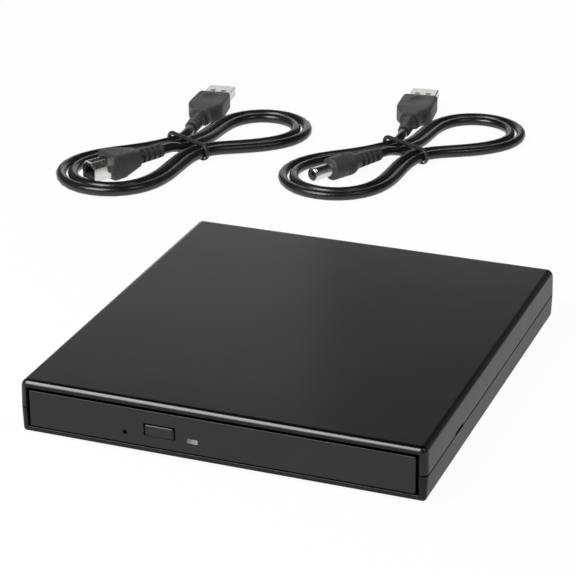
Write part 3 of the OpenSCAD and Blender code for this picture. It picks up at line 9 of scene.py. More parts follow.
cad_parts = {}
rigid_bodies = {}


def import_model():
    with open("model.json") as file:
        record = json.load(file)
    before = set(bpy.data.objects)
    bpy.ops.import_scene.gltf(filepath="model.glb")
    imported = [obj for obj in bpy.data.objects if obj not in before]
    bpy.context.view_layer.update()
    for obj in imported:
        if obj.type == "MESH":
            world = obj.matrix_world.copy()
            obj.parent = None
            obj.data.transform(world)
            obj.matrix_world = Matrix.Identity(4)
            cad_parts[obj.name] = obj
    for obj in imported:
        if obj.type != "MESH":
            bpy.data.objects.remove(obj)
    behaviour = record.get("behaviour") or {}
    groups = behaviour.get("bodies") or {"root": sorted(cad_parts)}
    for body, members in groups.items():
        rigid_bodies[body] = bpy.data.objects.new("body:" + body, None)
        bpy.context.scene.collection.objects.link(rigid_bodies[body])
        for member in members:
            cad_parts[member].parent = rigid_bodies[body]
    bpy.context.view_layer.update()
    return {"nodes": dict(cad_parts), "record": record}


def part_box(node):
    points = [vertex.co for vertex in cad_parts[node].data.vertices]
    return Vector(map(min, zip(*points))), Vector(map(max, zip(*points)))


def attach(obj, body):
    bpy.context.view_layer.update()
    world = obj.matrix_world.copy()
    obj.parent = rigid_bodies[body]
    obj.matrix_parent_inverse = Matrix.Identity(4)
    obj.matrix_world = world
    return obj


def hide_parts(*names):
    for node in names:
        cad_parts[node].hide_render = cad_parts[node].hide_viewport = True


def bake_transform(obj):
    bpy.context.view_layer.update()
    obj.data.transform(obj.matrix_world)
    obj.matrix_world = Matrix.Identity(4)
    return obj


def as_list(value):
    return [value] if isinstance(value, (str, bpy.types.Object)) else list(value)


for spare in list(bpy.data.objects):
    bpy.data.objects.remove(spare)
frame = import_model()

# Lengths below are in millimetres, and become metres as each mesh is made
MM = 0.001

# Points nearer than this, in metres, become one
same_spot = 1e-7

# A rounded edge has this many segments
edge_segments = 2


# Mesh helpers

def node_box(name):
    """Lowest and highest corner of a CAD node, in millimetres."""
    low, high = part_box(name)
    return [c / MM for c in low], [c / MM for c in high]


def show(name, data):
    """Puts new data in the scene as an object."""
    made = bpy.data.objects.new(name, data)
    bpy.context.scene.collection.objects.link(made)
    return made


def make_mesh(name, points, faces):
    """A new object from points in millimetres, with its normals outwards."""
    mesh = bpy.data.meshes.new(name)
    mesh.from_pydata([[c * MM for c in p] for p in points], [], faces)
    work = bmesh.new()
    work.from_mesh(mesh)
    bmesh.ops.remove_doubles(work, verts=work.verts, dist=same_spot)
    bmesh.ops.recalc_face_normals(work, faces=work.faces)
    work.to_mesh(mesh)
    work.free()
    return show(name, mesh)


def loft(name, rings, loop=False):
    """Skin over rings of equal counts, closed at both ends, or joined end to end."""
    count = len(rings[0])
    faces = []
    spans = len(rings) if loop else len(rings) - 1
    for i in range(spans):
        here = i * count
        there = (i + 1) % len(rings) * count
        for k in range(count):
            after = (k + 1) % count
            faces.append([here + k, here + after, there + after, there + k])
    if not loop:
        faces.append(list(range(count)))
        faces.append(list(range((len(rings) - 1) * count, len(rings) * count)))
    return make_mesh(name, [p for ring in rings for p in ring], faces)


def stack(name, axis, layers, loop=False):
    """Skin over layers along an axis, each one its place there and its outline on the other two axes."""
    spot = "xyz".index(axis)
    rings = [[(*p[:spot], place, *p[spot:]) for p in outline] for place, outline in layers]
    return loft(name, rings, loop)


def circle(radius, segments, mid=(0, 0)):
    turns = [math.tau * k / segments for k in range(segments)]
    return [(mid[0] + radius * math.cos(t), mid[1] + radius * math.sin(t)) for t in turns]


def quarter(steps):
    """How far a quarter of a circle has fallen, and has still to rise, at each of its steps."""
    turns = [math.radians(90 * k / steps) for k in range(steps + 1)]
    return [(1 - math.cos(t), 1 - math.sin(t)) for t in turns]


def about(middle, half):
    return middle - half, middle + half


def round_outline(width, height, radius, mid=(0, 0), steps=6):
    """Rectangle with round corners, anticlockwise round a middle."""
    points = []
    for k, (sx, sy) in enumerate([(1, 1), (-1, 1), (-1, -1), (1, -1)]):
        corner_x = mid[0] + sx * (width / 2 - radius)
        corner_y = mid[1] + sy * (height / 2 - radius)
        for step in range(steps + 1):
            turn = math.radians(90 * (k + step / steps))
            points.append((corner_x + radius * math.cos(turn), corner_y + radius * math.sin(turn)))
    return points


def plate(name, axis, mid, size, span, corner):
    """Plate with round corners that lies across an axis, between two places along it."""
    outline = round_outline(*size, corner, mid)
    return stack(name, axis, [(place, outline) for place in span])


def lathe(name, axis, profile, mid, segments=48, hollow=False):
    """Piece turned about a line along an axis, from (place, radius) pairs, or a ring that they close."""
    return stack(name, axis, [(place, circle(radius, segments, mid)) for place, radius in profile], hollow)


def rod(axis, mid, span, radius, segments=32):
    """Round bar between two places along an axis."""
    return lathe("cutter", axis, [(place, radius) for place in span], mid, segments)


def block(x_span, y_span, z_span):
    """Plain box between two places along each axis."""
    points = [(x, y, z) for x in x_span for y in y_span for z in z_span]
    faces = [(0, 1, 3, 2), (4, 6, 7, 5), (0, 4, 5, 1), (2, 3, 7, 6), (0, 2, 6, 4), (1, 5, 7, 3)]
    return make_mesh("cutter", points, faces)


def ridge(name, path, radius, sides=10):
    """Round bead along points."""
    rings = []
    spots = [Vector(p) for p in path]
    for i, spot in enumerate(spots):
        way = (spots[min(i + 1, len(spots) - 1)] - spots[max(i - 1, 0)]).normalized()
        aside = way.cross(Vector((0, 0, 1))).normalized()
        rings.append([spot + u * aside + v * aside.cross(way) for u, v in circle(radius, sides)])
    return loft(name, rings)


def move(obj, matrix):
    """Puts a mesh in its place, in its points."""
    obj.data.transform(matrix)
    return obj


def settle(obj):
    """Applies the object's modifiers."""
    graph = bpy.context.evaluated_depsgraph_get()
    mesh = bpy.data.meshes.new_from_object(obj.evaluated_get(graph))
    obj.modifiers.clear()
    obj.data = mesh


def cut(obj, cutters):
    """Takes each cutter out of the object."""
    for cutter in cutters:
        step = obj.modifiers.new("cut", "BOOLEAN")
        step.operation = "DIFFERENCE"
        step.solver = "EXACT"
        step.object = cutter
    settle(obj)
    for cutter in cutters:
        bpy.data.objects.remove(cutter)
    return obj


def shade(obj, angle, width=0.0):
    """Smooth shading, with the sharp edges rounded where a width is given."""
    obj.data.shade_smooth()
    if width:
        round_off = obj.modifiers.new("round_off", "BEVEL")
        round_off.width = width * MM
        round_off.segments = edge_segments
        round_off.limit_method = "ANGLE"
        round_off.angle_limit = math.radians(angle)
        round_off.harden_normals = True
        round_off.use_clamp_overlap = True
    else:
        obj.data.set_sharp_from_angle(angle=math.radians(angle))
    weigh = obj.modifiers.new("weigh", "WEIGHTED_NORMAL")
    weigh.keep_sharp = True
    return obj


def merge(name, parts):
    """Joins meshes into one object."""
    work = bmesh.new()
    for part in parts:
        work.from_mesh(part.data)
    mesh = bpy.data.meshes.new(name)
    work.to_mesh(mesh)
    work.free()
    for part in parts:
        bpy.data.objects.remove(part)
    return show(name, mesh)


def dress(obj, material, body, slot, *stands_for):
    """Gives a new piece its material and body, and hides the nodes that it stands for; its slot is not used.
    """
    obj.data.materials.clear()
    obj.data.materials.append(material)
    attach(obj, body)
    if stands_for:
        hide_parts(*stands_for)
    return obj


# Material helpers

mix_share, mix_first, mix_second = 0, 6, 7
mix_colour = 2
black = (0, 0, 0)


def start_material(name):
    made = bpy.data.materials.new(name)
    made.use_nodes = True
    return made, made.node_tree, made.node_tree.nodes["Principled BSDF"]


def connect(tree, node, inputs):
    """Joins sockets to a node's inputs, or sets those to plain values."""
    for key, value in inputs.items():
        if isinstance(value, bpy.types.NodeSocket):
            tree.links.new(value, node.inputs[key])
        else:
            node.inputs[key].default_value = value


def add(tree, kind, inputs=None, **settings):
    node = tree.nodes.new("ShaderNode" + kind)
    for key, value in settings.items():
        setattr(node, key, value)
    connect(tree, node, inputs or {})
    return node


def maths(tree, operation, *values):
    """One step of arithmetic with sockets or numbers."""
    return add(tree, "Math", dict(enumerate(values)), operation=operation).outputs[0]


def place(tree, stretch=(1, 1, 1)):
    """The object's own coordinates, in millimetres, divided by a stretch along each axis."""
    coords = add(tree, "TexCoord")
    scale = [1 / MM / s for s in stretch]
    return add(tree, "Mapping", {"Vector": coords.outputs["Object"], "Scale": scale}).outputs[0]


def facing(tree, axis):
    """How far a face looks along an axis, from -1 to 1."""
    normal = add(tree, "TexCoord").outputs["Normal"]
    return add(tree, "SeparateXYZ", {"Vector": normal}).outputs[axis]


def noise(tree, where, size, detail=2.0):
    """Cloudy noise with features of a size in millimetres."""
    made = add(tree, "TexNoise", {"Vector": where, "Scale": 1 / size, "Detail": detail})
    return made.outputs["Fac"]


def spread(tree, value, low=0, high=1, start=0.3, stop=0.7):
    """A value between two limits brought to a range."""
    limits = {"Value": value, "From Min": start, "From Max": stop, "To Min": low, "To Max": high}
    return add(tree, "MapRange", limits).outputs[0]


def tint(tree, share, first, second):
    """Colour between two, by a share."""
    ends = [end if isinstance(end, bpy.types.NodeSocket) else [*end, 1] for end in (first, second)]
    inputs = {mix_share: share, mix_first: ends[0], mix_second: ends[1]}
    return add(tree, "Mix", inputs, data_type="RGBA").outputs[mix_colour]


def relief(tree, height, depth, below=None):
    """Bump of a depth in millimetres, on top of another one where that is given."""
    made = add(tree, "Bump", {"Height": height, "Distance": depth * MM, "Strength": 1.0})
    if below:
        tree.links.new(below, made.inputs["Normal"])
    return made.outputs[0]


def lighter(colour, share):
    return [min(1.0, c * share) for c in colour]


def clouded(tree, cloud, colour, dark, pale):
    """A colour that drifts between a darker and a paler shade of itself."""
    return tint(tree, spread(tree, cloud), lighter(colour, dark), lighter(colour, pale))


def plastic(name, colour, rough, grain=0.35, depth=0.012, mottle=0.16, specular=0.5):
    """Moulded plastic: a fine spark-eroded grain, faint flow marks and handling marks in its gloss."""
    made, tree, shader = start_material(name)
    where = place(tree)
    flow = noise(tree, where, size=14, detail=3)
    handling = noise(tree, place(tree, stretch=(9, 2, 5)), size=1.0, detail=4)
    fine = noise(tree, where, size=grain)
    coarse = noise(tree, where, size=grain * 4, detail=3)
    worn = spread(tree, handling, low=rough * 0.9, high=rough * 1.08)
    connect(tree, shader, {
        "Base Color": clouded(tree, flow, colour, dark=1 - mottle, pale=1 + mottle),
        "Roughness": maths(tree, "ADD", worn, spread(tree, coarse, low=-0.02, high=0.02)),
        "Normal": relief(tree, coarse, depth=depth * 0.8, below=relief(tree, fine, depth)),
        "Specular IOR Level": specular,
    })
    return made


def front_plastic(name, colour, rough, specular):
    """Front plastic, finely grained, with painted shade in its gaps: near black where faces don't look
    ahead.
    """
    made = plastic(name, colour, rough, grain=0.35, depth=0.003, mottle=0.06, specular=specular)
    tree = made.node_tree
    shader = tree.nodes["Principled BSDF"]
    ahead = maths(tree, "ABSOLUTE", facing(tree, "Y"))
    # Painted shade: faces that do not look forward, as the sides in the gaps, go nearly black and lose their
    # gloss
    seen = spread(tree, ahead, low=0.06, high=1, start=0.05, stop=0.4)
    base = shader.inputs["Base Color"].links[0].from_socket
    connect(tree, shader, {
        "Base Color": tint(tree, seen, black, base),
        "Specular IOR Level": maths(tree, "MULTIPLY", seen, specular),
    })
    return made


def satin_case(name, colour, side_shine):
    """Case plastic: satin above and below, grained on its sides; glossier where it rounds, with a painted
    dark reflection.
    """
    made, tree, shader = start_material(name)
    grain_gloss = 0.22
    polish_shine = 0.15
    where = place(tree)
    upward = facing(tree, "Z")
    level = maths(tree, "ABSOLUTE", upward)
    grained = spread(tree, level, low=1, high=0, start=0.03, stop=0.6)
    # Band where the top rounds off: more gloss, and a painted dark reflection that takes the colour near
    # black
    gloss_and_painted_dark_band = maths(tree, "MULTIPLY", spread(tree, level, start=0.55, stop=0.8),
                   spread(tree, level, low=1, high=0, start=0.97, stop=0.998))
    base = clouded(tree, noise(tree, where, size=18, detail=3), colour, dark=0.94, pale=1.08)
    handling = noise(tree, place(tree, stretch=(12, 3, 5)), size=1.0, detail=4)
    worn = spread(tree, handling, low=0.18, high=0.21)
    sheen = spread(tree, grained, low=0.5, high=side_shine, start=0, stop=1)
    shine = maths(tree, "MULTIPLY_ADD", gloss_and_painted_dark_band, polish_shine, sheen)
    dulled = spread(tree, upward, low=0.15, high=1, start=-0.3, stop=0.0)
    grain = noise(tree, where, size=0.22)
    height = maths(tree, "MULTIPLY", grain, spread(tree, grained, low=0.08, high=1.0, start=0, stop=1))
    connect(tree, shader, {
        # Painted dark reflection: the colour goes near black in the rounding band
        "Base Color": tint(tree, gloss_and_painted_dark_band, base, lighter(colour, share=0.08)),
        "Roughness": maths(tree, "MULTIPLY_ADD", grained, grain_gloss, worn),
        "Normal": relief(tree, height, depth=0.02),
        "Specular IOR Level": maths(tree, "MULTIPLY", shine, dulled),
    })
    return made


def metal(name, colour, rough, along=(1, 1, 1), size=0.25, depth=0.003, mottle=0.1):
    """Metal with marks drawn out along an axis, and faint clouding."""
    made, tree, shader = start_material(name)
    marks = noise(tree, place(tree, stretch=along), size, detail=3)
    cloud = noise(tree, place(tree), size=6, detail=3)
    connect(tree, shader, {
        "Base Color": clouded(tree, cloud, colour, dark=1 - mottle, pale=1 + mottle / 2),
        "Roughness": spread(tree, marks, low=rough * 0.75, high=rough * 1.25),
        "Normal": relief(tree, marks, depth),
        "Metallic": 1.0,
    })
    return made


def rubber(name, colour, rough, size=0.6, depth=0.03, specular=0.35):
    """Soft matte rubber with a fine pitted skin."""
    made, tree, shader = start_material(name)
    where = place(tree)
    bloom = noise(tree, where, size=5, detail=3)
    connect(tree, shader, {
        "Base Color": clouded(tree, bloom, colour, dark=0.8, pale=1.35),
        "Roughness": spread(tree, bloom, low=rough * 0.92, high=rough * 1.06),
        "Normal": relief(tree, noise(tree, where, size, detail=4), depth),
        "Specular IOR Level": specular,
    })
    return made


def jacket(name, colour, rough):
    """Glossy cable jacket with a slight orange peel and dulled patches."""
    made, tree, shader = start_material(name)
    where = place(tree)
    dull = noise(tree, where, size=7, detail=4)
    connect(tree, shader, {
        "Base Color": clouded(tree, dull, colour, dark=0.85, pale=1.25),
        "Roughness": spread(tree, dull, low=rough * 0.8, high=rough * 1.35),
        "Normal": relief(tree, noise(tree, where, size=0.9), depth=0.0025),
        "Specular IOR Level": 0.6,
    })
    return made


def circuit(name, mask, copper):
    """Solder mask with a pattern of covered tracks and bare pads."""
    made, tree, shader = start_material(name)
    where = place(tree)
    pad_reach = 0.17
    rows = {"Vector": where, "Scale": 0.35, "Mortar Size": 0.06, "Brick Width": 1.7, "Row Height": 0.4}
    tracks = add(tree, "TexBrick", rows).outputs["Fac"]
    pads = add(tree, "TexVoronoi", {"Vector": where, "Scale": 0.42, "Randomness": 0.55})
    pad = maths(tree, "LESS_THAN", pads.outputs["Distance"], pad_reach)
    connect(tree, shader, {
        "Base Color": tint(tree, pad, tint(tree, tracks, mask, lighter(mask, share=1.9)), copper),
        "Metallic": pad,
        "Normal": relief(tree, tracks, depth=0.03),
        "Roughness": 0.35,
    })
    return made


def frosted(name, colour, rough, passing):
    """Clear moulded resin with a frosted inside."""
    made, tree, shader = start_material(name)
    haze = noise(tree, place(tree), size=0.5, detail=3)
    connect(tree, shader, {
        "Base Color": clouded(tree, haze, colour, dark=0.85, pale=1.1),
        "Roughness": spread(tree, haze, low=rough * 0.8, high=rough * 1.2),
        "Normal": relief(tree, haze, depth=0.008),
        "Transmission Weight": passing,
        "IOR": 1.49,
    })
    return made


def light_guide(name, first, second, rough, start, stop):
    """Frosted resin with painted shade and light: darker at one end and paler at the other, along X in
    millimetres.
    """
    made = frosted(name, second, rough, passing=0.25)
    tree = made.node_tree
    across = add(tree, "SeparateXYZ", {"Vector": place(tree)}).outputs["X"]
    base = tint(tree, spread(tree, across, start=start, stop=stop), first, second)
    connect(tree, tree.nodes["Principled BSDF"], {"Base Color": base})
    return made


# Materials, with their base colours

black_case = satin_case("black_case", (0.0155, 0.0149, 0.0152), side_shine=0.28)
black_shell = satin_case("black_shell", (0.0165, 0.0165, 0.0167), side_shine=0.14)
black_front = front_plastic("black_front", (0.017, 0.0167, 0.0171), rough=0.3, specular=0.29)
black_tray = plastic("black_tray", (0.026, 0.026, 0.027), rough=0.5, grain=0.45, depth=0.02)
black_grip = plastic("black_grip", (0.05, 0.05, 0.051), rough=0.55, grain=0.4, depth=0.02)
black_part = plastic("black_part", (0.02, 0.02, 0.021), rough=0.45, grain=0.4, depth=0.015)
black_film = plastic("black_film", (0.012, 0.012, 0.013), rough=0.4, grain=0.8, depth=0.006, mottle=0.1)
chip_resin = plastic("chip_resin", (0.018, 0.018, 0.019), rough=0.55, grain=0.2, depth=0.01)
ivory_part = plastic("ivory_part", (0.58, 0.56, 0.5), rough=0.45, grain=0.3, depth=0.01, mottle=0.06)
acetal = plastic("acetal", (0.62, 0.62, 0.58), rough=0.38, grain=0.5, depth=0.008, mottle=0.05)
white_tongue = plastic("white_tongue", (0.72, 0.72, 0.71), rough=0.4, grain=0.3, depth=0.006, mottle=0.04)
ribbon_film = plastic("ribbon_film", (0.66, 0.67, 0.7), rough=0.3, grain=1.2, depth=0.01, mottle=0.06)
foot_rubber = rubber("foot_rubber", (0.022, 0.022, 0.022), rough=0.8)
# Near black and nearly without gloss: painted shade for the gaps beside the bezel
gap_shade_black = rubber("gap_shade_black", (0.003, 0.003, 0.003), rough=0.95, size=0.25, depth=0.06, specular=0.03)
ring_rubber = rubber("ring_rubber", (0.05, 0.05, 0.055), rough=0.75, size=0.4, depth=0.02)
cord_black = jacket("cord_black", (0.008, 0.008, 0.0083), rough=0.26)
tie_black = jacket("tie_black", (0.016, 0.016, 0.016), rough=0.42)
zinc_sheet = metal("zinc_sheet", (0.56, 0.57, 0.58), rough=0.36, along=(1, 14, 1), size=0.4, depth=0.004)
rolled_steel = metal("rolled_steel", (0.6, 0.61, 0.62), rough=0.3, along=(1, 18, 1), size=0.3, depth=0.004)
screw_steel = metal("screw_steel", (0.62, 0.62, 0.63), rough=0.32, size=0.3, depth=0.004)
nickel = metal("nickel", (0.74, 0.735, 0.72), rough=0.24, along=(5, 5, 1), size=0.35)
# Darker copy of nickel for the A-type plugs' shells: painted shade, with a rougher finish
shaded_dull_nickel = metal("shaded_dull_nickel", (0.585, 0.58, 0.565), rough=0.28, along=(5, 5, 1), size=0.35)
ground_steel = metal("ground_steel", (0.72, 0.73, 0.74), rough=0.16, along=(8, 8, 8), size=0.3, depth=0.002)
cast_metal = metal("cast_metal", (0.46, 0.47, 0.48), rough=0.5, size=0.5, depth=0.03)
gold_plate = metal("gold_plate", (0.83, 0.62, 0.24), rough=0.25, along=(1, 6, 1), size=0.3, depth=0.002)
copper_wire = metal("copper_wire", (0.52, 0.27, 0.14), rough=0.35, along=(12, 1, 12), size=0.5, depth=0.05)
green_board = circuit("green_board", mask=(0.012, 0.1, 0.042), copper=(0.72, 0.6, 0.36))
lamp_resin = frosted("lamp_resin", (0.8, 0.86, 0.68), rough=0.2, passing=0.5)
lens_glass = frosted("lens_glass", (0.5, 0.62, 0.85), rough=0.06, passing=0.85)


slot_looks = {
    "cover_plastic": black_case, "shell_plastic": black_shell, "bezel_plastic": black_front,
    "button_plastic": black_front, "window": lamp_resin, "lamp": lamp_resin, "foot_rubber": foot_rubber,
    "screw_steel": screw_steel, "board": green_board, "chip": chip_resin, "connector": ivory_part,
    "plated_steel": nickel, "tongue_plastic": white_tongue, "insert_plastic": black_part,
    "contact": gold_plate, "jack_plastic": black_part, "sheet_steel": zinc_sheet, "slide_plastic": acetal,
    "rail_steel": rolled_steel, "tray_plastic": black_tray, "ribbon": ribbon_film,
    "grommet_rubber": ring_rubber, "rod_steel": ground_steel, "motor_steel": zinc_sheet,
    "coil": copper_wire, "turntable_plastic": black_part, "claw_plastic": acetal, "sled_metal": cast_metal,
    "holder_plastic": black_part, "lens_glass": lens_glass, "cord_jacket": cord_black,
    "tie_plastic": tie_black, "grip_plastic": black_grip,
}
for row in frame["record"]["subparts"]:
    skin = frame["nodes"][row["node"]].data
    skin.materials.clear()
    skin.materials.append(slot_looks[row["material_slot"]])


# Case: an upper and a lower half that meet at a seam

case_x, case_y, case_z1 = node_box("top_cover")[1]
shell_low, shell_high = node_box("bottom_shell")
case_z0 = shell_low[2]
tongue_h = 1.0
seam_z = shell_high[2] - tongue_h
wall = 2.0
floor_t = 1.6
roof_t = 1.6
edge_r = 2.4
low_r = 1.2
top_draft = 0.15
low_draft = 0.45
groove_d = 0.7
groove_h = 0.24
arc_steps = 8
least_r = 0.02
case_soft = 0.18


def case_outline(inset, corner):
    return round_outline(2 * (case_x - inset), 2 * (case_y - inset), corner)


def case_half(name, end_z, draft, radius):
    """One half of the case as a solid, from the seam to its roof or floor."""
    up = 1 if end_z > seam_z else -1
    groove_z = seam_z + up * groove_h
    groove = case_outline(groove_d, edge_r - groove_d)
    layers = [(seam_z, groove), (groove_z, groove), (groove_z, case_outline(0, edge_r))]
    for fall, rise in quarter(arc_steps):
        corner = max(radius * (1 - fall), least_r)
        layers.append((end_z - up * radius * rise, case_outline(draft + radius * fall, corner)))
    return stack(name, "z", layers)


bezel_low, bezel_high = node_box("bezel")
bezel_side_gap = 1.15
bezel_foot_gap = 0.8
bezel_head_gap = 1.1
bezel_shift = -0.2
open_x = bezel_high[0] + bezel_side_gap
open_z0 = bezel_low[2] - bezel_foot_gap
open_z1 = bezel_high[2] + bezel_head_gap
open_corner = 0.5
past = 3.0
port_gap = 0.3


def case_cutters():
    """The room inside the case, the opening for the tray, and the ports at the rear."""
    made = [
        block(about(0, case_x - wall), about(0, case_y - wall), (case_z0 + floor_t, case_z1 - roof_t)),
        plate("cutter", "y", (0, (open_z0 + open_z1) / 2), (2 * open_x, open_z1 - open_z0),
              (-case_y - past, -case_y + wall + past), open_corner),
    ]
    for node in ("socket_shell", "jack_body"):
        low, high = node_box(node)
        made.append(block((low[0] - port_gap, high[0] + port_gap), (case_y - wall - past, case_y + past),
                          (low[2] - port_gap, high[2] + port_gap)))
    return made


notch_inset = 32
notch_l = 7.6
notch_h = 0.9
notch_cutter = block((case_x - wall / 2, case_x + past), about(-case_y + notch_inset, notch_l / 2),
                     (seam_z - past, seam_z + notch_h))
cover = case_half("case_cover", case_z1, top_draft, edge_r)
cut(cover, [*case_cutters(), notch_cutter])
shade(cover, angle=50, width=case_soft)
dress(cover, black_case, "case", "cover_plastic", "top_cover")

boss_inset_x = 9.1
boss_inset_y = 6.5
boss_y = case_y - wall - boss_inset_y
head_r = 2.3
shank_r = 1.1
head_h = 1.0
screw_cutters = []
for boss_x in about(0, case_x - boss_inset_x):
    screw_cutters.append(rod("z", (boss_x, boss_y), (case_z0 - past, case_z0 + head_h), head_r))
    screw_cutters.append(rod("z", (boss_x, boss_y), (case_z0 - past, case_z0 + floor_t + past), shank_r))
shell = case_half("case_shell", case_z0, low_draft, low_r)
cut(shell, [*case_cutters(), *screw_cutters])
shade(shell, angle=50, width=case_soft)
dress(shell, black_shell, "case", "shell_plastic", "bottom_shell")


# Front: bezel, button and window

button_low, button_high = node_box("eject_button")
window_low, window_high = node_box("indicator_window")
button_w = 9.7
button_h = 3.72
button_aside = -0.15
button_rise = 5.26
button_x = (button_low[0] + button_high[0]) / 2 + button_aside
button_z = bezel_low[2] + button_rise
button_gap = 0.5
button_lean = 0.19
button_corner = 0.5
button_chamfer = 0.26
button_hole_corner = 0.4
window_x, window_y, window_z = [(low + high) / 2 for low, high in zip(window_low, window_high)]
window_w, window_t, window_h = [high - low for low, high in zip(window_low, window_high)]
window_gap = 0.15
window_corner = 0.08
window_hole_corner = 0.25
window_soft = 0.06
pinhole_x = -31.25
pinhole_rise = 3.3
pinhole_z = bezel_low[2] + pinhole_rise
pinhole_r = 0.75
bezel_drop = 0.2
bezel_down = 0.52
bezel_over = 0.2
bezel_corner = 0.6
bezel_edge = 0.5
bezel_z0 = bezel_low[2] - bezel_down
bezel_z1 = bezel_high[2] - bezel_drop
bezel_w = 2 * (bezel_high[0] + bezel_over)
bezel_front, bezel_back = bezel_low[1], bezel_high[1]


def soft_plate(name, mid, size, span, corner, edge, steps=5):
    """Upright plate with round corners and a rounded front edge, or a chamfered one in a single step."""
    layers = []
    for fall, rise in quarter(steps):
        inset = edge * rise
        outline = round_outline(size[0] - 2 * inset, size[1] - 2 * inset, max(corner - inset, least_r), mid)
        layers.append((span[0] + edge * fall, outline))
    layers.append((span[1], round_outline(*size, corner, mid)))
    return stack(name, "y", layers)


bezel = soft_plate("front_bezel", (bezel_shift, (bezel_z0 + bezel_z1) / 2), (bezel_w, bezel_z1 - bezel_z0),
                   (bezel_front, bezel_back), bezel_corner, bezel_edge)
through = (bezel_front - past, bezel_back + past)
button_hole = (button_w + 2 * button_gap, button_h + 2 * (button_gap - button_lean))
window_hole = (window_w + 2 * window_gap, window_h + 2 * window_gap)
cut(bezel, [
    plate("cutter", "y", (button_x, button_z + button_lean), button_hole, through, button_hole_corner),
    plate("cutter", "y", (window_x, window_z), window_hole, through, window_hole_corner),
    rod("y", (pinhole_x, pinhole_z), through, pinhole_r),
])
dress(shade(bezel, angle=50), black_front, "drawer", "bezel_plastic", "bezel")

button = soft_plate("button_cap", (button_x, button_z), (button_w, button_h), (button_low[1], bezel_back),
                    button_corner, button_chamfer, steps=1)
dress(shade(button, angle=30), black_front, "button", "button_plastic", "eject_button")
window = plate("window_pane", "y", (window_x, window_z), (window_w, window_h),
               about(window_y, window_t / 2), window_corner)
# Painted shade and light on the window: darker at its left end and paler at its right
window_resin = light_guide("window_resin", first=(0.11, 0.11, 0.112), second=(0.47, 0.47, 0.475), rough=0.35,
                           start=window_low[0], stop=window_high[0])
dress(shade(window, angle=40, width=window_soft), window_resin, "drawer", "window", "indicator_window")

# Near-black strips behind the frame, at both ends of the bezel: painted shade for the gaps beside it
strip_x0 = 64.7
strip_lap = 0.1
strip_x1 = case_x - wall + strip_lap
strip_t = 0.7
strip_corner = 0.25
strips = []
strip_y = -case_y + wall + strip_t / 2
for strip_x in about(0, (strip_x0 + strip_x1) / 2):
    strips.append(plate("strip", "z", (strip_x, strip_y), (strip_x1 - strip_x0, strip_t),
                        (open_z0 + strip_lap, open_z1 - strip_lap), strip_corner))
gap_shade_strips = merge("gap_shade_strips", strips)
dress(shade(gap_shade_strips, angle=50), gap_shade_black, "case", "grommet_rubber")


# Tray: a hollow for the disc with soft edges, pockets in its lands, and an open underside

tray_low, tray_high = node_box("tray")
tray_x, tray_y0, tray_y1 = tray_high[0], tray_low[1], tray_high[1]
tray_z0, tray_z1 = tray_low[2], tray_high[2]
disc_y = -7.7
deck_turn = math.radians(-45)
bowl_d = 2.6
bowl_z = tray_z1 - bowl_d
bowl_r = 60.6
bowl_fillet = 0.9
bowl_rim = 0.45
fillet_steps = 4
small_r = 40.6
small_step = 0.4
small_draft = 0.1
skin_t = 1.4
under_z = bowl_z - skin_t
lip_h = 1.4
lip_z = under_z - lip_h
side_land = 4.8
cavity_x = tray_x - side_land
tray_wall = 1.8
tray_corner = 0.8
tray_soft = 0.2
rail_groove_d = 2.9
rail_groove_h = 4.2
rail_groove_rise = 0.6
groove_x = tray_x - rail_groove_d
groove_z0 = tray_z0 + rail_groove_rise
table_hole_r = 16.5
table_hole_lip = 0.3
table_hole_flare = 0.6
slot_end = 60.0
slot_half = 12.0
slot_corner = 3.0
pocket_depth = 0.4
pocket_w = 13.5
pocket_l = 12.0
pocket_in = 2.3
pocket_corner = 1.6
pocket_dimple_r = 2.2
pocket_dimple_d = 0.2
pinhole_room = 0.2
button_room = (6.4, 3.3)
window_room = (2.1, 1.1)
ribbon_gate = (-41, -27)
post_r = 1.0
post_rise = 0.3
post_sunk = 0.1
latch_pivot = (-42.5, -44)
ejector_rib_x = (41, 47)
ejector_rib_y = 17.8
deck_posts = ((-17, -13), (-17, 15), (52, -21.5))
hanger_xs = (-27, -5.5)
hanger_y = (-66.2, -62.2)
around = 128
hole_around = 96
over = 1.0
sliver = 0.01
front_span = (tray_y0 - over, tray_y0 + tray_wall + over)


def on_deck(obj):
    """Turns a piece drawn along the deck into its place under the tray."""
    return move(obj, Matrix.Translation((0, disc_y * MM, 0)) @ Matrix.Rotation(deck_turn, 4, "Z"))


def bowl_cutters():
    """Hollow for a disc, with a filleted floor and a softened rim, and the step and hole at its middle."""
    profile = []
    for fall, rise in quarter(fillet_steps):
        profile.append((bowl_z + bowl_fillet * fall, bowl_r - bowl_fillet * rise))
    rim_r = bowl_r + bowl_rim
    profile += [(tray_z1 - bowl_rim, bowl_r), (tray_z1, rim_r), (tray_z1 + over, rim_r + over)]
    step = [(bowl_z - small_step, small_r - small_draft), (bowl_z, small_r),
            (bowl_z + over, small_r + small_draft)]
    hole = [(bowl_z - past, table_hole_r), (bowl_z - small_step - table_hole_lip, table_hole_r),
            (bowl_z, table_hole_r + table_hole_flare)]
    turned = ((profile, around), (step, around), (hole, hole_around))
    return [lathe("cutter", "z", pairs, (0, disc_y), segments) for pairs, segments in turned]


def front_room(x, z, room):
    """Room behind the bezel for a piece that reaches through the tray's front wall."""
    return block(about(x, room[0]), front_span, about(z, room[1]))


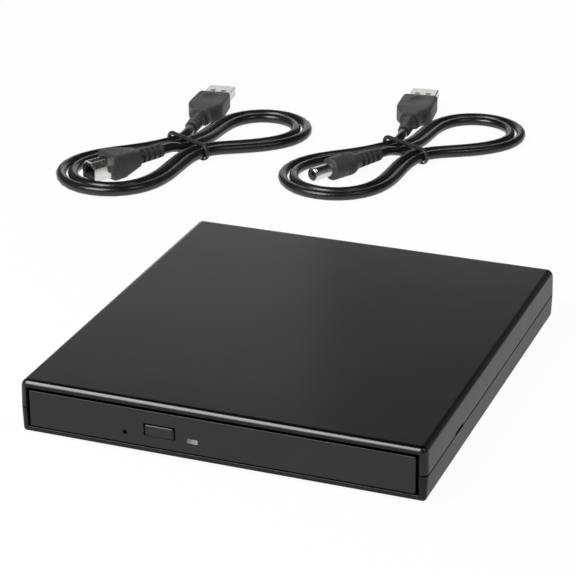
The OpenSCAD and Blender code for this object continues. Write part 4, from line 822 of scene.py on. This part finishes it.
def tray_shape(name):
    mid_y = (tray_y0 + tray_y1) / 2
    body = plate(name, "z", (0, mid_y), (2 * tray_x, tray_y1 - tray_y0), (tray_z0, tray_z1), tray_corner)
    inner_y = (tray_y0 + tray_wall, tray_y1 - tray_wall)
    rear = (inner_y[1] - over, tray_y1 + over)
    cutters = [
        *bowl_cutters(),
        on_deck(plate("cutter", "z", (slot_end / 2, 0), (slot_end, 2 * slot_half),
                      (under_z - over, bowl_z + over / 2), slot_corner)),
        block(about(0, cavity_x), inner_y, (tray_z0 - over, under_z)),
        block(about(0, cavity_x), rear, (tray_z0 - over, lip_z)),
        block(ribbon_gate, rear, (lip_z - over, under_z - sliver)),
        front_room(button_x, button_z, button_room),
        front_room(window_x, window_z, window_room),
        rod("y", (pinhole_x, pinhole_z), front_span, pinhole_r + pinhole_room),
    ]
    for side in (-1, 1):
        groove = sorted((side * groove_x, side * (tray_x + over)))
        cutters.append(block(groove, (inner_y[0], rear[1]), (groove_z0, groove_z0 + rail_groove_h)))
        pocket_x = side * (tray_x - pocket_in - pocket_w / 2)
        for pocket_y in (tray_y0 + pocket_in + pocket_l / 2, tray_y1 - pocket_in - pocket_l / 2):
            pocket_z = tray_z1 - pocket_depth
            mid = (pocket_x, pocket_y)
            dimple_z = pocket_z - pocket_dimple_d
            cutters.append(plate("cutter", "z", mid, (pocket_w, pocket_l), (pocket_z, tray_z1 + over),
                                 pocket_corner))
            cutters.append(rod("z", mid, (dimple_z, dimple_z + over), pocket_dimple_r))
    cut(body, cutters)
    top_z = under_z + post_sunk
    standing = (tray_z0 + post_rise, top_z)
    posts = [block(ejector_rib_x, (ejector_rib_y, ejector_rib_y + tray_wall), standing),
             rod("z", latch_pivot, standing, post_r)]
    for mid in deck_posts:
        posts.append(on_deck(rod("z", mid, (tray_z0 + post_sunk, top_z), post_r)))
    for x in hanger_xs:
        posts.append(block(about(x, post_r), hanger_y, (under_z - post_rise, top_z)))
    return merge(name, [body, *posts])


tray_body = tray_shape("tray_body")
dress(shade(tray_body, angle=35, width=tray_soft), black_tray, "drawer", "tray_plastic", "tray")

# A film under the deck closes the tray from below
film_mid = 23
film_l = 70
film_w = 32
film_t = 0.08
film = on_deck(plate("deck_film", "z", (film_mid, 0), (film_l, film_w), (tray_z0, tray_z0 + film_t),
                     slot_corner))
dress(shade(film, angle=40), black_film, "drawer", "insert_plastic")

# Beads pressed up in the cover plate beside the pickup's way; each dips into the plate at its ends
plate_z = node_box("deck_cover")[1][2]
bead_v = 9.0
bead_start = 20
bead_l = 34
bead_parts = 12
bead_r = 0.3
bead_sunk = 0.12
beads = []
for side in (-1, 1):
    line = []
    for k in range(bead_parts + 1):
        dip = bead_r if k in (0, bead_parts) else 0
        line.append((bead_start + bead_l * k / bead_parts, side * bead_v, plate_z - bead_sunk - dip))
    beads.append(ridge("bead", line, bead_r))
plate_beads = on_deck(merge("plate_beads", beads))
dress(shade(plate_beads, angle=60), zinc_sheet, "drawer", "sheet_steel")

# Ribbon cable, folded back on itself
ribbon_t = 0.15
ribbon_upper = 30.0
ribbon_arc = 40
ribbon_run = 6


def ribbon_strip(name):
    """Flat strip along the lower run, the fold and the upper run, and the heights where the runs lie."""
    low, high = node_box("ribbon_cable")
    radius = (high[2] - low[2] - ribbon_t) / 2
    mid_z = (high[2] + low[2]) / 2
    bend_y = low[1] + radius + ribbon_t / 2
    spots = []
    for k in range(ribbon_run):
        spots.append((high[1] + (bend_y - high[1]) * k / ribbon_run, mid_z - radius, 0.0))
    for k in range(ribbon_arc + 1):
        turn = math.pi * k / ribbon_arc
        spots.append((bend_y - radius * math.sin(turn), mid_z - radius * math.cos(turn), turn))
    for k in range(1, ribbon_run + 1):
        spots.append((bend_y + ribbon_upper * k / ribbon_run, mid_z + radius, math.pi))
    rings = []
    for y, z, turn in spots:
        out_y, out_z = -math.sin(turn) * ribbon_t / 2, -math.cos(turn) * ribbon_t / 2
        rings.append([(low[0], y - out_y, z - out_z), (high[0], y - out_y, z - out_z),
                      (high[0], y + out_y, z + out_z), (low[0], y + out_y, z + out_z)])
    return loft(name, rings), low[2] + ribbon_t, high[2] - ribbon_t


ribbon, ribbon_low, ribbon_high = ribbon_strip("ribbon_strip")
shade(ribbon, angle=50)
ribbon.data.materials.append(ribbon_film)
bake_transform(ribbon)
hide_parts("ribbon_cable")

# Inside parts keep their shape, with their edges softened
soft_parts = (
    "turntable", "turntable_ring", "clamp_claw_1", "clamp_claw_2", "clamp_claw_3", "deck_cover", "deck",
    "left_rail", "right_rail", "rail_guides", "chassis_pan", "chassis_cover", "pickup_sled", "lens_holder",
    "rubber_feet", "fasteners", "socket_shell", "socket_tongue", "socket_contacts", "jack_body", "jack_pin",
    "latch_lever", "ejector_pusher", "bridge_board", "main_board", "tray_board", "board_chips",
    "drive_connector", "eject_switch", "spindle_motor", "feed_motor", "latch_solenoid",
)
part_soft = 0.12
for node in soft_parts:
    shade(frame["nodes"][node], angle=40, width=part_soft)


# Leads: each cord is wound into a hank of turns side by side, drawn in at its tied waist

hank_l = 124
lobe_w = 108
waist_w = 22.4
turn_gap = 0.7
turns = 2
turn_rings = 64
waist_slope = 14
plug_turn = math.radians(36)
plug_bend_r = 16.5
plug_bend_s = 0.5
plug_bend_rings = 12
seat_over = 0.8
far_s = -14
far_level_s = -10
far_rings = 8
tie_t = 0.8
tie_gap = 0.35
lead_angle = math.radians(61.5)
pinch = 1 - waist_w / lobe_w
taper = 0.36
rounding = 0.14
grip_h = 7.8


def lift(s):
    """How far the strands lie above the table, over the tie."""
    return (tie_t + tie_gap) * math.exp(-(s / waist_slope) ** 2)


def hank_point(turn, d):
    """A point of the winding: each turn lies one step inside the last."""
    c, s = math.cos(turn), math.sin(turn)
    edge = Vector((hank_l / 2 * c * (1 - taper * s * s - rounding * s * s * c * c),
                   lobe_w / 2 * s * (1 - pinch * s * s)))
    way = Vector((-hank_l / 2 * s * (1 + taper * (2 - 3 * s * s) + rounding * c * c * (2 - 5 * s * s)),
                  lobe_w / 2 * c * (1 - 3 * pinch * s * s))).normalized()
    edge += Vector((-way.y, way.x)) * (d + turn_gap) * (turn - math.pi / 2) / math.tau
    return (edge.x, edge.y, d / 2 + lift(edge.x))


def plug_bend(turn):
    return Vector((plug_bend_s + plug_bend_r * math.sin(turn),
                   waist_w / 2 + plug_bend_r * (1 - math.cos(turn))))


def plug_seat(d):
    return plug_bend(plug_turn) + (d + seat_over) * Vector((math.cos(plug_turn), math.sin(plug_turn)))


def ease(share):
    return share * share * (3 - 2 * share)


def swing(share):
    """Even bend up and even bend back level."""
    return 2 * share ** 2 if share < 1 / 2 else 1 - 2 * (1 - share) ** 2


def far_t(d):
    return waist_w / 2 - turns * (d + turn_gap)


def lead_route(d, far_z):
    """Points of a cord from its A-type plug, round its turns and into the plug at its other end."""
    way = Vector((math.cos(plug_turn), math.sin(plug_turn)))
    seat = plug_seat(d)
    points = [(*seat, grip_h / 2), (*(seat - d * way), grip_h / 2)]
    for k in range(1, plug_bend_rings + 1):
        share = 1 - k / plug_bend_rings
        spot = plug_bend(plug_turn * share)
        points.append((*spot, ease(share) * grip_h / 2 + (1 - ease(share)) * (d / 2 + lift(spot.x))))
    for k in range(turns * turn_rings + 1):
        points.append(hank_point(math.pi / 2 + math.tau * k / turn_rings, d))
    for k in range(1, far_rings + 1):
        share = k / far_rings
        s = share * far_level_s
        points.append((s, far_t(d), (1 - swing(share)) * (d / 2 + lift(s)) + swing(share) * far_z))
    points.append((far_s, far_t(d), far_z))
    return points


def turned_to(x, y, turn):
    return Matrix.Translation((x * MM, y * MM, 0)) @ Matrix.Rotation(turn, 4, "Z")


def on_lead(spot):
    return turned_to(*spot, lead_angle)


def on_plug(spot, d):
    return on_lead(spot) @ turned_to(*plug_seat(d), plug_turn)


def on_far_plug(spot, d):
    return on_lead(spot) @ turned_to(far_s, far_t(d), math.pi)


def cord_curve(name, points, d, matrix):
    """Round cord along points, with the place and the length of its line in metres."""
    curve = bpy.data.curves.new(name, "CURVE")
    curve.dimensions = "3D"
    curve.bevel_depth = d / 2 * MM
    curve.bevel_resolution = 6
    curve.use_fill_caps = True
    line = curve.splines.new("POLY")
    line.points.add(len(points) - 1)
    placed = [matrix @ (Vector(p) * MM) for p in points]
    for spot, p in zip(line.points, placed):
        spot.co = (*p, 1)
    line.use_smooth = True
    length = sum((b - a).length for a, b in zip(placed, placed[1:]))
    return show(name, curve), placed[0], length


relief_l = 13
relief_r = 3.4
relief_lip = 0.3
relief_mouth = 0.5
relief_over = 0.8
relief_lap = 0.6
relief_dip = 0.1
relief_sides = 32
core_over = 0.1
core_start = 0.2
grip_l = 25
grip_w = 15.6
plug_w = 12
plug_h = 4.5
plug_l = 12.5
plug_sheet = 0.35
plug_corner = 0.7
plug_inner_corner = 0.4
plug_x0 = relief_l + grip_l
plug_mid = grip_h / 2
shell_sunk = 0.3
slot_xs = (1.8, 4.6, 7.4, 10.2)
slot_w = 1.5
spine = 1.0
plug_soft = 0.08
contact_soft = 0.05


def relief_body(name, d, mid_z):
    """Strain relief: a tapered sleeve with slots on both sides of a spine, over the cord's own line."""
    profile = [(0, d / 2 + relief_mouth), (relief_lip, d / 2 + relief_over),
               (relief_l - relief_mouth, relief_r - relief_dip), (relief_l + relief_lap, relief_r)]
    sleeve = lathe(name, "x", profile, (0, mid_z), relief_sides)
    gaps = []
    for x in slot_xs:
        for side in (-1, 1):
            gap = sorted((side * spine, side * (relief_r + past)))
            gaps.append(block((x, x + slot_w), gap, about(mid_z, relief_r + over)))
    cut(sleeve, gaps)
    return [sleeve, rod("x", (0, mid_z), (core_start, relief_l), d / 2 + core_over, relief_sides)]


def grip_loft(name, sections, mid_z, steps=8):
    """Smooth skin over sections, each a distance from the relief, a width, a height and a corner radius."""
    sizes = []
    for i in range(len(sections) - 1):
        before = sections[max(i - 1, 0)]
        first, second = sections[i], sections[i + 1]
        after = sections[min(i + 2, len(sections) - 1)]
        for k in range(steps):
            t = k / steps
            size = []
            for p0, p1, p2, p3 in zip(before, first, second, after):
                bend = 2 * p1 + (p2 - p0) * t + (2 * p0 - 5 * p1 + 4 * p2 - p3) * t * t
                size.append((bend + (3 * p1 - p0 - 3 * p2 + p3) * t ** 3) / 2)
            sizes.append(size)
    layers = []
    for start, width, height, corner in [*sizes, sections[-1]]:
        most = min(width, height) / 2 - sliver
        layers.append((relief_l + start, round_outline(width, height, min(corner, most), (0, mid_z))))
    return stack(name, "x", layers)


def ellipsoid(x, z, a, b, c, rings=16, segments=40):
    """Egg shape on a plug's middle, for pressing a hollow with."""
    layers = []
    for i in range(1, rings):
        lat = math.pi * i / rings
        outline = [(x + a * u, b * v) for u, v in circle(math.sin(lat), segments)]
        layers.append((z + c * math.cos(lat), outline))
    return stack("cutter", "z", layers)


rest_x = relief_l + 16.5
rest_above = 0.9
rest_size = (7.2, 4.7, 1.6)
grip_swell = 0.3
grip_edge = 0.6
grip_corner = 1.4
grip_front_corner = 1.0
# Each place along the neck is a distance from the relief, a width, a height and a corner radius
grip_neck = ((0, 8.6, 6.9, 2.2), (3, 9.4, 7.2, 2.0), (7, 13.4, 7.6, 1.6))
grip_full = 10.5
grip_waist = 18


def a_grip(name, d, front_w):
    """Overmold of an A-type plug: it swells from the strain relief, with a thumb rest on both faces."""
    waist = (grip_w + front_w) / 2 + grip_swell
    sections = [
        *grip_neck, (grip_full, grip_w, grip_h, grip_corner), (grip_waist, waist, grip_h, grip_corner),
        (grip_l - grip_edge, front_w, grip_h, grip_corner),
        (grip_l, front_w - 2 * grip_edge, grip_h - 2 * grip_edge, grip_front_corner),
    ]
    body = grip_loft(name, sections, plug_mid)
    heights = about(plug_mid, grip_h / 2 + rest_above)
    cut(body, [ellipsoid(rest_x, z, *rest_size) for z in heights])
    return merge(name, [body, *relief_body(name + "_relief", d, plug_mid)])


latch_hole_x = plug_x0 + 4.6
latch_hole_y = 2.4
latch_hole_w = 2.2
dimple_x = plug_x0 + 2.9
dimple_above = 0.1
dimple_size = (0.75, 0.75, 0.3)


def a_shell(name):
    """Folded metal shell of an A-type plug, open at its mouth, with two latch holes on each face."""
    end = plug_x0 + plug_l
    mid = (0, plug_mid)
    body = plate(name, "x", mid, (plug_w, plug_h), (plug_x0 - shell_sunk, end), plug_corner)
    room = (plug_w - 2 * plug_sheet, plug_h - 2 * plug_sheet)
    holes = [plate("cutter", "x", mid, room, (plug_x0 - past, end + past), plug_inner_corner)]
    for y in about(0, latch_hole_y):
        holes.append(block((latch_hole_x, latch_hole_x + latch_hole_w), about(y, latch_hole_w / 2),
                           (-past, grip_h + past)))
    dimple_z = plug_mid + plug_h / 2 + dimple_above
    holes.append(ellipsoid(dimple_x, dimple_z, *dimple_size, rings=8, segments=20))
    return cut(body, holes)


contact_ys = (-3.5, -1.0, 1.0, 3.5)
contact_w = 1.0
contact_t = 0.12
contact_start = plug_x0 + 3
contact_end = plug_x0 + plug_l - 1.2
contact_dip = 0.1
tongue_t = 1.9
tongue_z = plug_mid - plug_h / 2 + plug_sheet + tongue_t
tongue_end = plug_x0 + plug_l - 0.4
channel_d = 0.25
channel_side = 0.15


def plug_tongue(name):
    """Plastic tongue of an A-type plug, with a channel for each contact."""
    body = block((plug_x0, tongue_end), about(0, plug_w / 2 - plug_sheet), (tongue_z - tongue_t, tongue_z))
    body.name = name
    along = (contact_start - channel_side, contact_end + channel_side)
    depth = (tongue_z - channel_d, tongue_z + past)
    return cut(body, [block(along, about(y, contact_w / 2 + channel_side), depth) for y in contact_ys])


def plug_contacts(name):
    """Four flat contacts, one in each channel of the tongue."""
    depth = (tongue_z - channel_d - contact_t, tongue_z - contact_dip)
    spans = [about(y, contact_w / 2) for y in contact_ys]
    return merge(name, [block((contact_start, contact_end), span, depth) for span in spans])


tie_half_w = 0.95
tie_swell = 0.5
tie_sides = 14
tie_slack = 0.05


def tie_loop(name, d):
    """Tie round the waist: an oval wire, flattened where it lies under the strands."""
    low = -(waist_w - d - turn_gap) / 2 - d / 2 - tie_gap - tie_t
    high = waist_w / 2 + d / 2 + tie_gap + tie_t
    tall = 2 * (tie_t + tie_gap) + d
    mid = ((low + high) / 2, tall / 2)
    path = round_outline(high - low - tie_t, tall - tie_t, (tall - tie_t) / 2 - tie_slack, mid, steps=8)
    rings = []
    for i, (u, v) in enumerate(path):
        before = Vector(path[i - 1])
        after = Vector(path[(i + 1) % len(path)])
        way = (after - before).normalized()
        out = Vector((way.y, -way.x))
        swell = tie_swell * ease(min(max(v / tall, 0), 1))
        ring = []
        for across, along in circle(1, tie_sides):
            spot = Vector((u, v)) + out * (swell + (tie_t / 2 + swell) * across)
            ring.append((tie_half_w * along, *spot))
        rings.append(ring)
    return loft(name, rings, loop=True)


def fit(piece, seat, look, slot, *stands_for, angle=40, width=0.0):
    """Puts a lead's piece in its place, shades it and dresses it."""
    shade(move(piece, seat), angle, width)
    return dress(piece, look, "case", slot, *stands_for)


def make_lead(kind, spot, d, far_mid, front_w):
    """Cord, tie and A-type plug of a lead; returns the cord, its exit and length, and its other pieces."""
    cord, exit_spot, length = cord_curve(kind + "_lead_cord", lead_route(d, far_mid), d, on_lead(spot))
    dress(cord, cord_black, "case", "cord_jacket", kind + "_cord")
    tie = fit(tie_loop(kind + "_lead_tie", d), on_lead(spot), tie_black, "tie_plastic", kind + "_tie",
              angle=60)
    plug = kind + "_plug"
    seat = on_plug(spot, d)
    grip = fit(a_grip(plug + "_body", d, front_w), seat, black_grip, "grip_plastic", plug + "_grip")
    metal_shell = fit(a_shell(plug + "_metal"), seat, shaded_dull_nickel, "plated_steel", plug + "_shell",
                      width=plug_soft)
    contacts = fit(plug_contacts(plug + "_contacts"), seat, gold_plate, "contact", width=contact_soft)
    tongue = fit(plug_tongue(plug + "_tongue"), seat, white_tongue, "tongue_plastic", "plug_tongues",
                 width=plug_soft)
    return cord, exit_spot, length, [grip, metal_shell, tongue, contacts, tie]


# Data lead, with a square plug at its far end

data_place = (-118, 178)
data_d = 4.2
data_front_w = 14.2
b_mid = 5.2
data_cord, data_exit, data_length, data_pieces = make_lead("data", data_place, data_d, b_mid, data_front_w)

b_grip_w = 11.4
b_grip_h = 10.4
b_grip_l = 15
b_x0 = relief_l + b_grip_l
b_shell_w = 8.4
b_shell_h = 7.7
b_shell_l = 9
b_top_z = b_mid + b_shell_h / 2
b_chamfer = 2.2
b_window_w = 3.2
b_window_edge = 0.8
b_shell_soft = 0.1
b_edge = 0.5
b_sections = [
    (0, 7.6, 7.4, 2.2), (2.5, 8.6, 8.4, 2.0), (7, 10.4, 9.8, 1.5), (9.5, b_grip_w, b_grip_h, 1.0),
    (b_grip_l - b_edge, b_grip_w, b_grip_h, 1.0),
    (b_grip_l, b_grip_w - 2 * b_edge, b_grip_h - 2 * b_edge, 0.7),
]
collar_over = 0.35
collar_edge = 0.35
collar_corner = 1.0
collar_front_corner = 0.9
collar_l = 3.0
tab_w = 1.9
tab_l = 2.6
tab_h = 3.4
tab_corner = 0.5
tab_sunk = 0.5
trim_r = 0.3
trim_half = 4.4
trim_back = 4.2
trim_curve = 0.19
trim_peak = 0.9
trim_sunk = 0.05
trim_parts = 16
rib_ys = (-0.95, 0, 0.95)
rib_half = 0.3
rib_start = 0.3
rib_short = 0.2
rib_low = 0.6
rib_high = 0.12


def b_top(start):
    """Height of the square plug's upper face, at a distance from its relief."""
    for (s0, _, h0, _), (s1, _, h1, _) in zip(b_sections, b_sections[1:]):
        if start <= s1:
            return b_mid + (h0 + (h1 - h0) * (start - s0) / (s1 - s0)) / 2
    return b_mid + b_grip_h / 2


def square_grip(name):
    """Overmold of the square plug, with a collar, side tabs and a curved bead across its upper face."""
    body = grip_loft(name, b_sections, b_mid)
    wide, tall = b_grip_w + 2 * collar_over, b_grip_h + collar_over
    edge = collar_edge
    collar_start = b_grip_l - collar_l
    collar = grip_loft("collar", [
        (collar_start, wide - edge, tall - edge, collar_corner),
        (collar_start + edge, wide, tall, collar_corner),
        (b_grip_l - 2 * edge, wide, tall, collar_corner),
        (b_grip_l - edge, wide - edge, tall - edge, collar_front_corner),
    ], b_mid + collar_over / 2, steps=1)
    tabs = []
    for y in about(0, b_grip_w / 2 - tab_sunk):
        tabs.append(plate("tab", "x", (y, b_mid), (tab_w, tab_h), about(b_x0, tab_l / 2), tab_corner))
    bead = []
    for k in range(trim_parts + 1):
        y = (2 * k / trim_parts - 1) * trim_half
        start = collar_start - trim_back + trim_curve * y * y - trim_peak * math.exp(-y * y)
        bead.append((relief_l + start, y, b_top(start) - trim_sunk))
    parts = [body, collar, *tabs, ridge("bead", bead, trim_r)]
    return merge(name, [*parts, *relief_body(name + "_relief", data_d, b_mid)])


def b_prism(name, inset, *span):
    """Prism across X with its two upper corners cut off, a little inside the square plug's shell."""
    half_w = b_shell_w / 2 - inset
    low, high = about(b_mid, b_shell_h / 2 - inset)
    outline = [(-half_w, low), (half_w, low), (half_w, high - b_chamfer), (half_w - b_chamfer, high),
               (-half_w + b_chamfer, high), (-half_w, high - b_chamfer)]
    return stack(name, "x", [(x, outline) for x in span])


def square_shell(name):
    """Folded metal shell of the square plug, with a long window in its upper face."""
    end = b_x0 + b_shell_l
    body = b_prism(name, 0, b_x0 - shell_sunk, end)
    hollow = b_prism("cutter", plug_sheet, b_x0 - past, end + past)
    slot = block((b_x0 - past, end - b_window_edge), about(0, b_window_w / 2),
                 (b_top_z - over, b_top_z + past))
    return cut(body, [hollow, slot])


def insert_ribs(name):
    """Ribs of the insert, seen through the window of the square plug's shell."""
    along = (b_x0 + rib_start, b_x0 + b_shell_l - b_window_edge - rib_short)
    height = (b_top_z - rib_low, b_top_z - rib_high)
    return merge(name, [block(along, about(y, rib_half), height) for y in rib_ys])


square_seat = on_far_plug(data_place, data_d)
square_body = fit(square_grip("square_plug_body"), square_seat, black_grip, "grip_plastic",
                  "square_plug_grip")
square_metal = fit(square_shell("square_plug_metal"), square_seat, nickel, "plated_steel",
                   "square_plug_shell", angle=30, width=b_shell_soft)
square_ribs = fit(insert_ribs("square_plug_ribs"), square_seat, black_part, "insert_plastic",
                  width=plug_soft)
data_pieces += [square_body, square_metal, square_ribs, "square_plug_tongue"]
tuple(data_exit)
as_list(data_pieces)

# Power lead, with a barrel plug at its far end

power_place = (-31, 205)
power_d = 3.8
power_front_w = 15.4
barrel_mid = 4.8
power_cord, power_exit, power_length, power_pieces = make_lead("power", power_place, power_d, barrel_mid,
                                                               power_front_w)

barrel_r = 4.8
barrel_l = 14
barrel_x0 = relief_l + barrel_l
barrel_edge = 0.9
barrel_edge_steps = 3
# Distances from the relief, and the radius there
barrel_neck = ((0, relief_r), (0.8, 3.7), (1.9, 4.25), (3.0, 4.65))
sleeve_r = 2.75
sleeve_t = 0.5
sleeve_l = 9.5
bore_r = 1.05
ring_start = 3.6
ring_step = 1.0
ring_count = 4
ring_depth = 0.28
ring_slope = 0.12
ring_floor = 0.3
lining_back = 0.2
lining_short = 0.4
lining_flare = 0.2
lip_r = 0.2
lip_groove = (1.2, 1.1, 0.9, 0.8)
lip_groove_d = 0.12


def barrel_grip(name):
    """Overmold of the barrel plug with fine ring grooves, and the insulator inside its sleeve."""
    profile = [(relief_l + start, radius) for start, radius in barrel_neck]
    floor_r = barrel_r - ring_depth
    for k in range(ring_count):
        start = relief_l + ring_start + k * ring_step
        inner = start + ring_slope
        profile += [(start, barrel_r), (inner, floor_r), (inner + ring_floor, floor_r),
                    (inner + ring_floor + ring_slope, barrel_r)]
    for fall, rise in quarter(barrel_edge_steps):
        profile.append((barrel_x0 - barrel_edge * rise, barrel_r - barrel_edge * fall))
    body = lathe(name, "x", profile, (0, barrel_mid))
    lining_r = sleeve_r - sleeve_t
    start = barrel_x0 - lining_back
    end = barrel_x0 + sleeve_l - lining_short
    lining = lathe("lining", "x", [
        (start, bore_r), (start, lining_r), (end, lining_r), (end, bore_r + lining_flare),
        (end - lining_flare, bore_r),
    ], (0, barrel_mid), hollow=True)
    return merge(name, [body, lining, *relief_body(name + "_relief", power_d, barrel_mid)])


def barrel_sleeve(name):
    """Metal sleeve of the barrel plug, with a fine groove and a rounded lip at its mouth."""
    start, end = barrel_x0 - lining_back, barrel_x0 + sleeve_l
    groove_r = sleeve_r - lip_groove_d
    groove = [(end - back, r) for back, r in zip(lip_groove, (sleeve_r, groove_r, groove_r, sleeve_r))]
    return lathe(name, "x", [
        (start, sleeve_r - sleeve_t), (start, sleeve_r), *groove, (end - lip_r, sleeve_r),
        (end, sleeve_r - lip_r), (end, sleeve_r - sleeve_t),
    ], (0, barrel_mid), hollow=True)


barrel_seat = on_far_plug(power_place, power_d)
barrel_body = fit(barrel_grip("barrel_plug_body"), barrel_seat, black_grip, "grip_plastic",
                  "barrel_plug_grip")
barrel_metal = fit(barrel_sleeve("barrel_plug_metal"), barrel_seat, nickel, "plated_steel",
                   "barrel_plug_sleeve", angle=30)
power_pieces += [barrel_body, barrel_metal]
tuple(power_exit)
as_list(power_pieces)


# Stage: pale floor, soft studio light and the camera

white = (1, 1, 1, 1)
floor_grey = (0.86, 0.86, 0.86, 1)
floor_size = 30000
floor_white = 0.95
sky_light = 0.24


def light_path_share(tree):
    """1 for rays from the camera, mirrors and clear pieces, and 0 for those that only light."""
    path = add(tree, "LightPath").outputs
    share = maths(tree, "MAXIMUM", path["Is Camera Ray"], path["Is Glossy Ray"])
    return maths(tree, "MAXIMUM", share, path["Is Transmission Ray"])


def make_floor():
    """Wide floor that looks white, and sends back the light of a pale one."""
    corners = [(x * floor_size, y * floor_size, 0) for x, y in ((-1, -1), (1, -1), (1, 1), (-1, 1))]
    made = make_mesh("floor", corners, [(0, 1, 2, 3)])
    look = bpy.data.materials.new("floor_white")
    look.use_nodes = True
    tree = look.node_tree
    tree.nodes.clear()
    pale = add(tree, "BsdfDiffuse", {"Color": floor_grey})
    glow = add(tree, "Emission", {"Color": white, "Strength": 1.0})
    share = maths(tree, "MULTIPLY", light_path_share(tree), floor_white)
    mixed = add(tree, "MixShader", {0: share, 1: pale.outputs[0], 2: glow.outputs[0]})
    add(tree, "OutputMaterial", {"Surface": mixed.outputs[0]})
    made.data.materials.append(look)
    return made


def make_world():
    """White studio that lights evenly, and that mirrors only as a dim sky, darker higher up."""
    made = bpy.data.worlds.new("studio")
    made.use_nodes = True
    tree = made.node_tree
    tree.nodes.clear()
    path = add(tree, "LightPath").outputs
    sight = add(tree, "TexCoord").outputs["Generated"]
    height = add(tree, "SeparateXYZ", {"Vector": sight}).outputs["Z"]
    dim_sky = spread(tree, height, low=0.15, high=0.01, start=0.42, stop=0.6)
    mirrored = add(tree, "Mix", {"Factor": path["Is Glossy Ray"], "A": sky_light, "B": dim_sky})
    level = add(tree, "Mix", {"Factor": path["Is Camera Ray"], "A": mirrored.outputs[0], "B": 1.0})
    sky = add(tree, "Background", {"Color": white, "Strength": level.outputs[0]})
    add(tree, "OutputWorld", {"Surface": sky.outputs[0]})
    return made


floor = make_floor()
bpy.context.scene.world = make_world()


def toward(azimuth, elevation, distance):
    """A spot seen from the origin in a direction; azimuth 0 is the front and 90 the right."""
    turn, rise = math.radians(azimuth), math.radians(elevation)
    level = math.cos(rise)
    return distance * Vector((math.sin(turn) * level, -math.cos(turn) * level, math.sin(rise)))


def soft_light(name, spot, aim, width, height, radiance):
    """Rectangular studio light at a spot, turned to face another."""
    lamp = bpy.data.lights.new(name, "AREA")
    lamp.shape = "RECTANGLE"
    lamp.size = width * MM
    lamp.size_y = height * MM
    lamp.energy = radiance * math.pi * width * MM * height * MM
    made = show(name, lamp)
    made.location = Vector(spot) * MM
    made.rotation_mode = "QUATERNION"
    made.rotation_quaternion = (Vector(spot) - Vector(aim)).to_track_quat("Z", "Y")
    made.visible_camera = False


middle = (0, 0, 0)
soft_light("key_light", toward(azimuth=-38, elevation=52, distance=1000), middle,
           width=640, height=560, radiance=9.0)
soft_light("right_light", toward(azimuth=85, elevation=57, distance=1400), middle,
           width=420, height=420, radiance=3.0)
soft_light("low_card", spot=(-240, 570, 112), aim=(-240, 0, 112), width=380, height=180, radiance=1.0)
soft_light("left_card", spot=(-340, 570, 285), aim=(-340, 0, 285), width=260, height=170, radiance=0.22)

camera_azimuth = 21.49
camera_elevation = 23.91
camera_roll = math.radians(-0.55)
camera_distance = 791.1
camera_target = Vector((-21.18, 42.8, 9.79))
photo_px = 576
focal_px = 2242.81
sensor_mm = 36.0
lens = bpy.data.cameras.new("camera")
lens.sensor_width = sensor_mm
lens.lens = focal_px / photo_px * sensor_mm
lens.clip_start = 0.05
lens.clip_end = 100
camera = show("camera", lens)
back = toward(camera_azimuth, camera_elevation, distance=1)
right = Vector((math.cos(math.radians(camera_azimuth)), math.sin(math.radians(camera_azimuth)), 0))
up = back.cross(right)
tilted_right = math.cos(camera_roll) * right + math.sin(camera_roll) * up
tilted_up = math.cos(camera_roll) * up - math.sin(camera_roll) * right
camera.rotation_mode = "QUATERNION"
camera.rotation_quaternion = Matrix((tilted_right, tilted_up, back)).transposed().to_quaternion()
camera.location = (camera_target + back * camera_distance) * MM
bpy.context.scene.camera = camera
bpy.context.scene.view_settings.view_transform = "Standard"
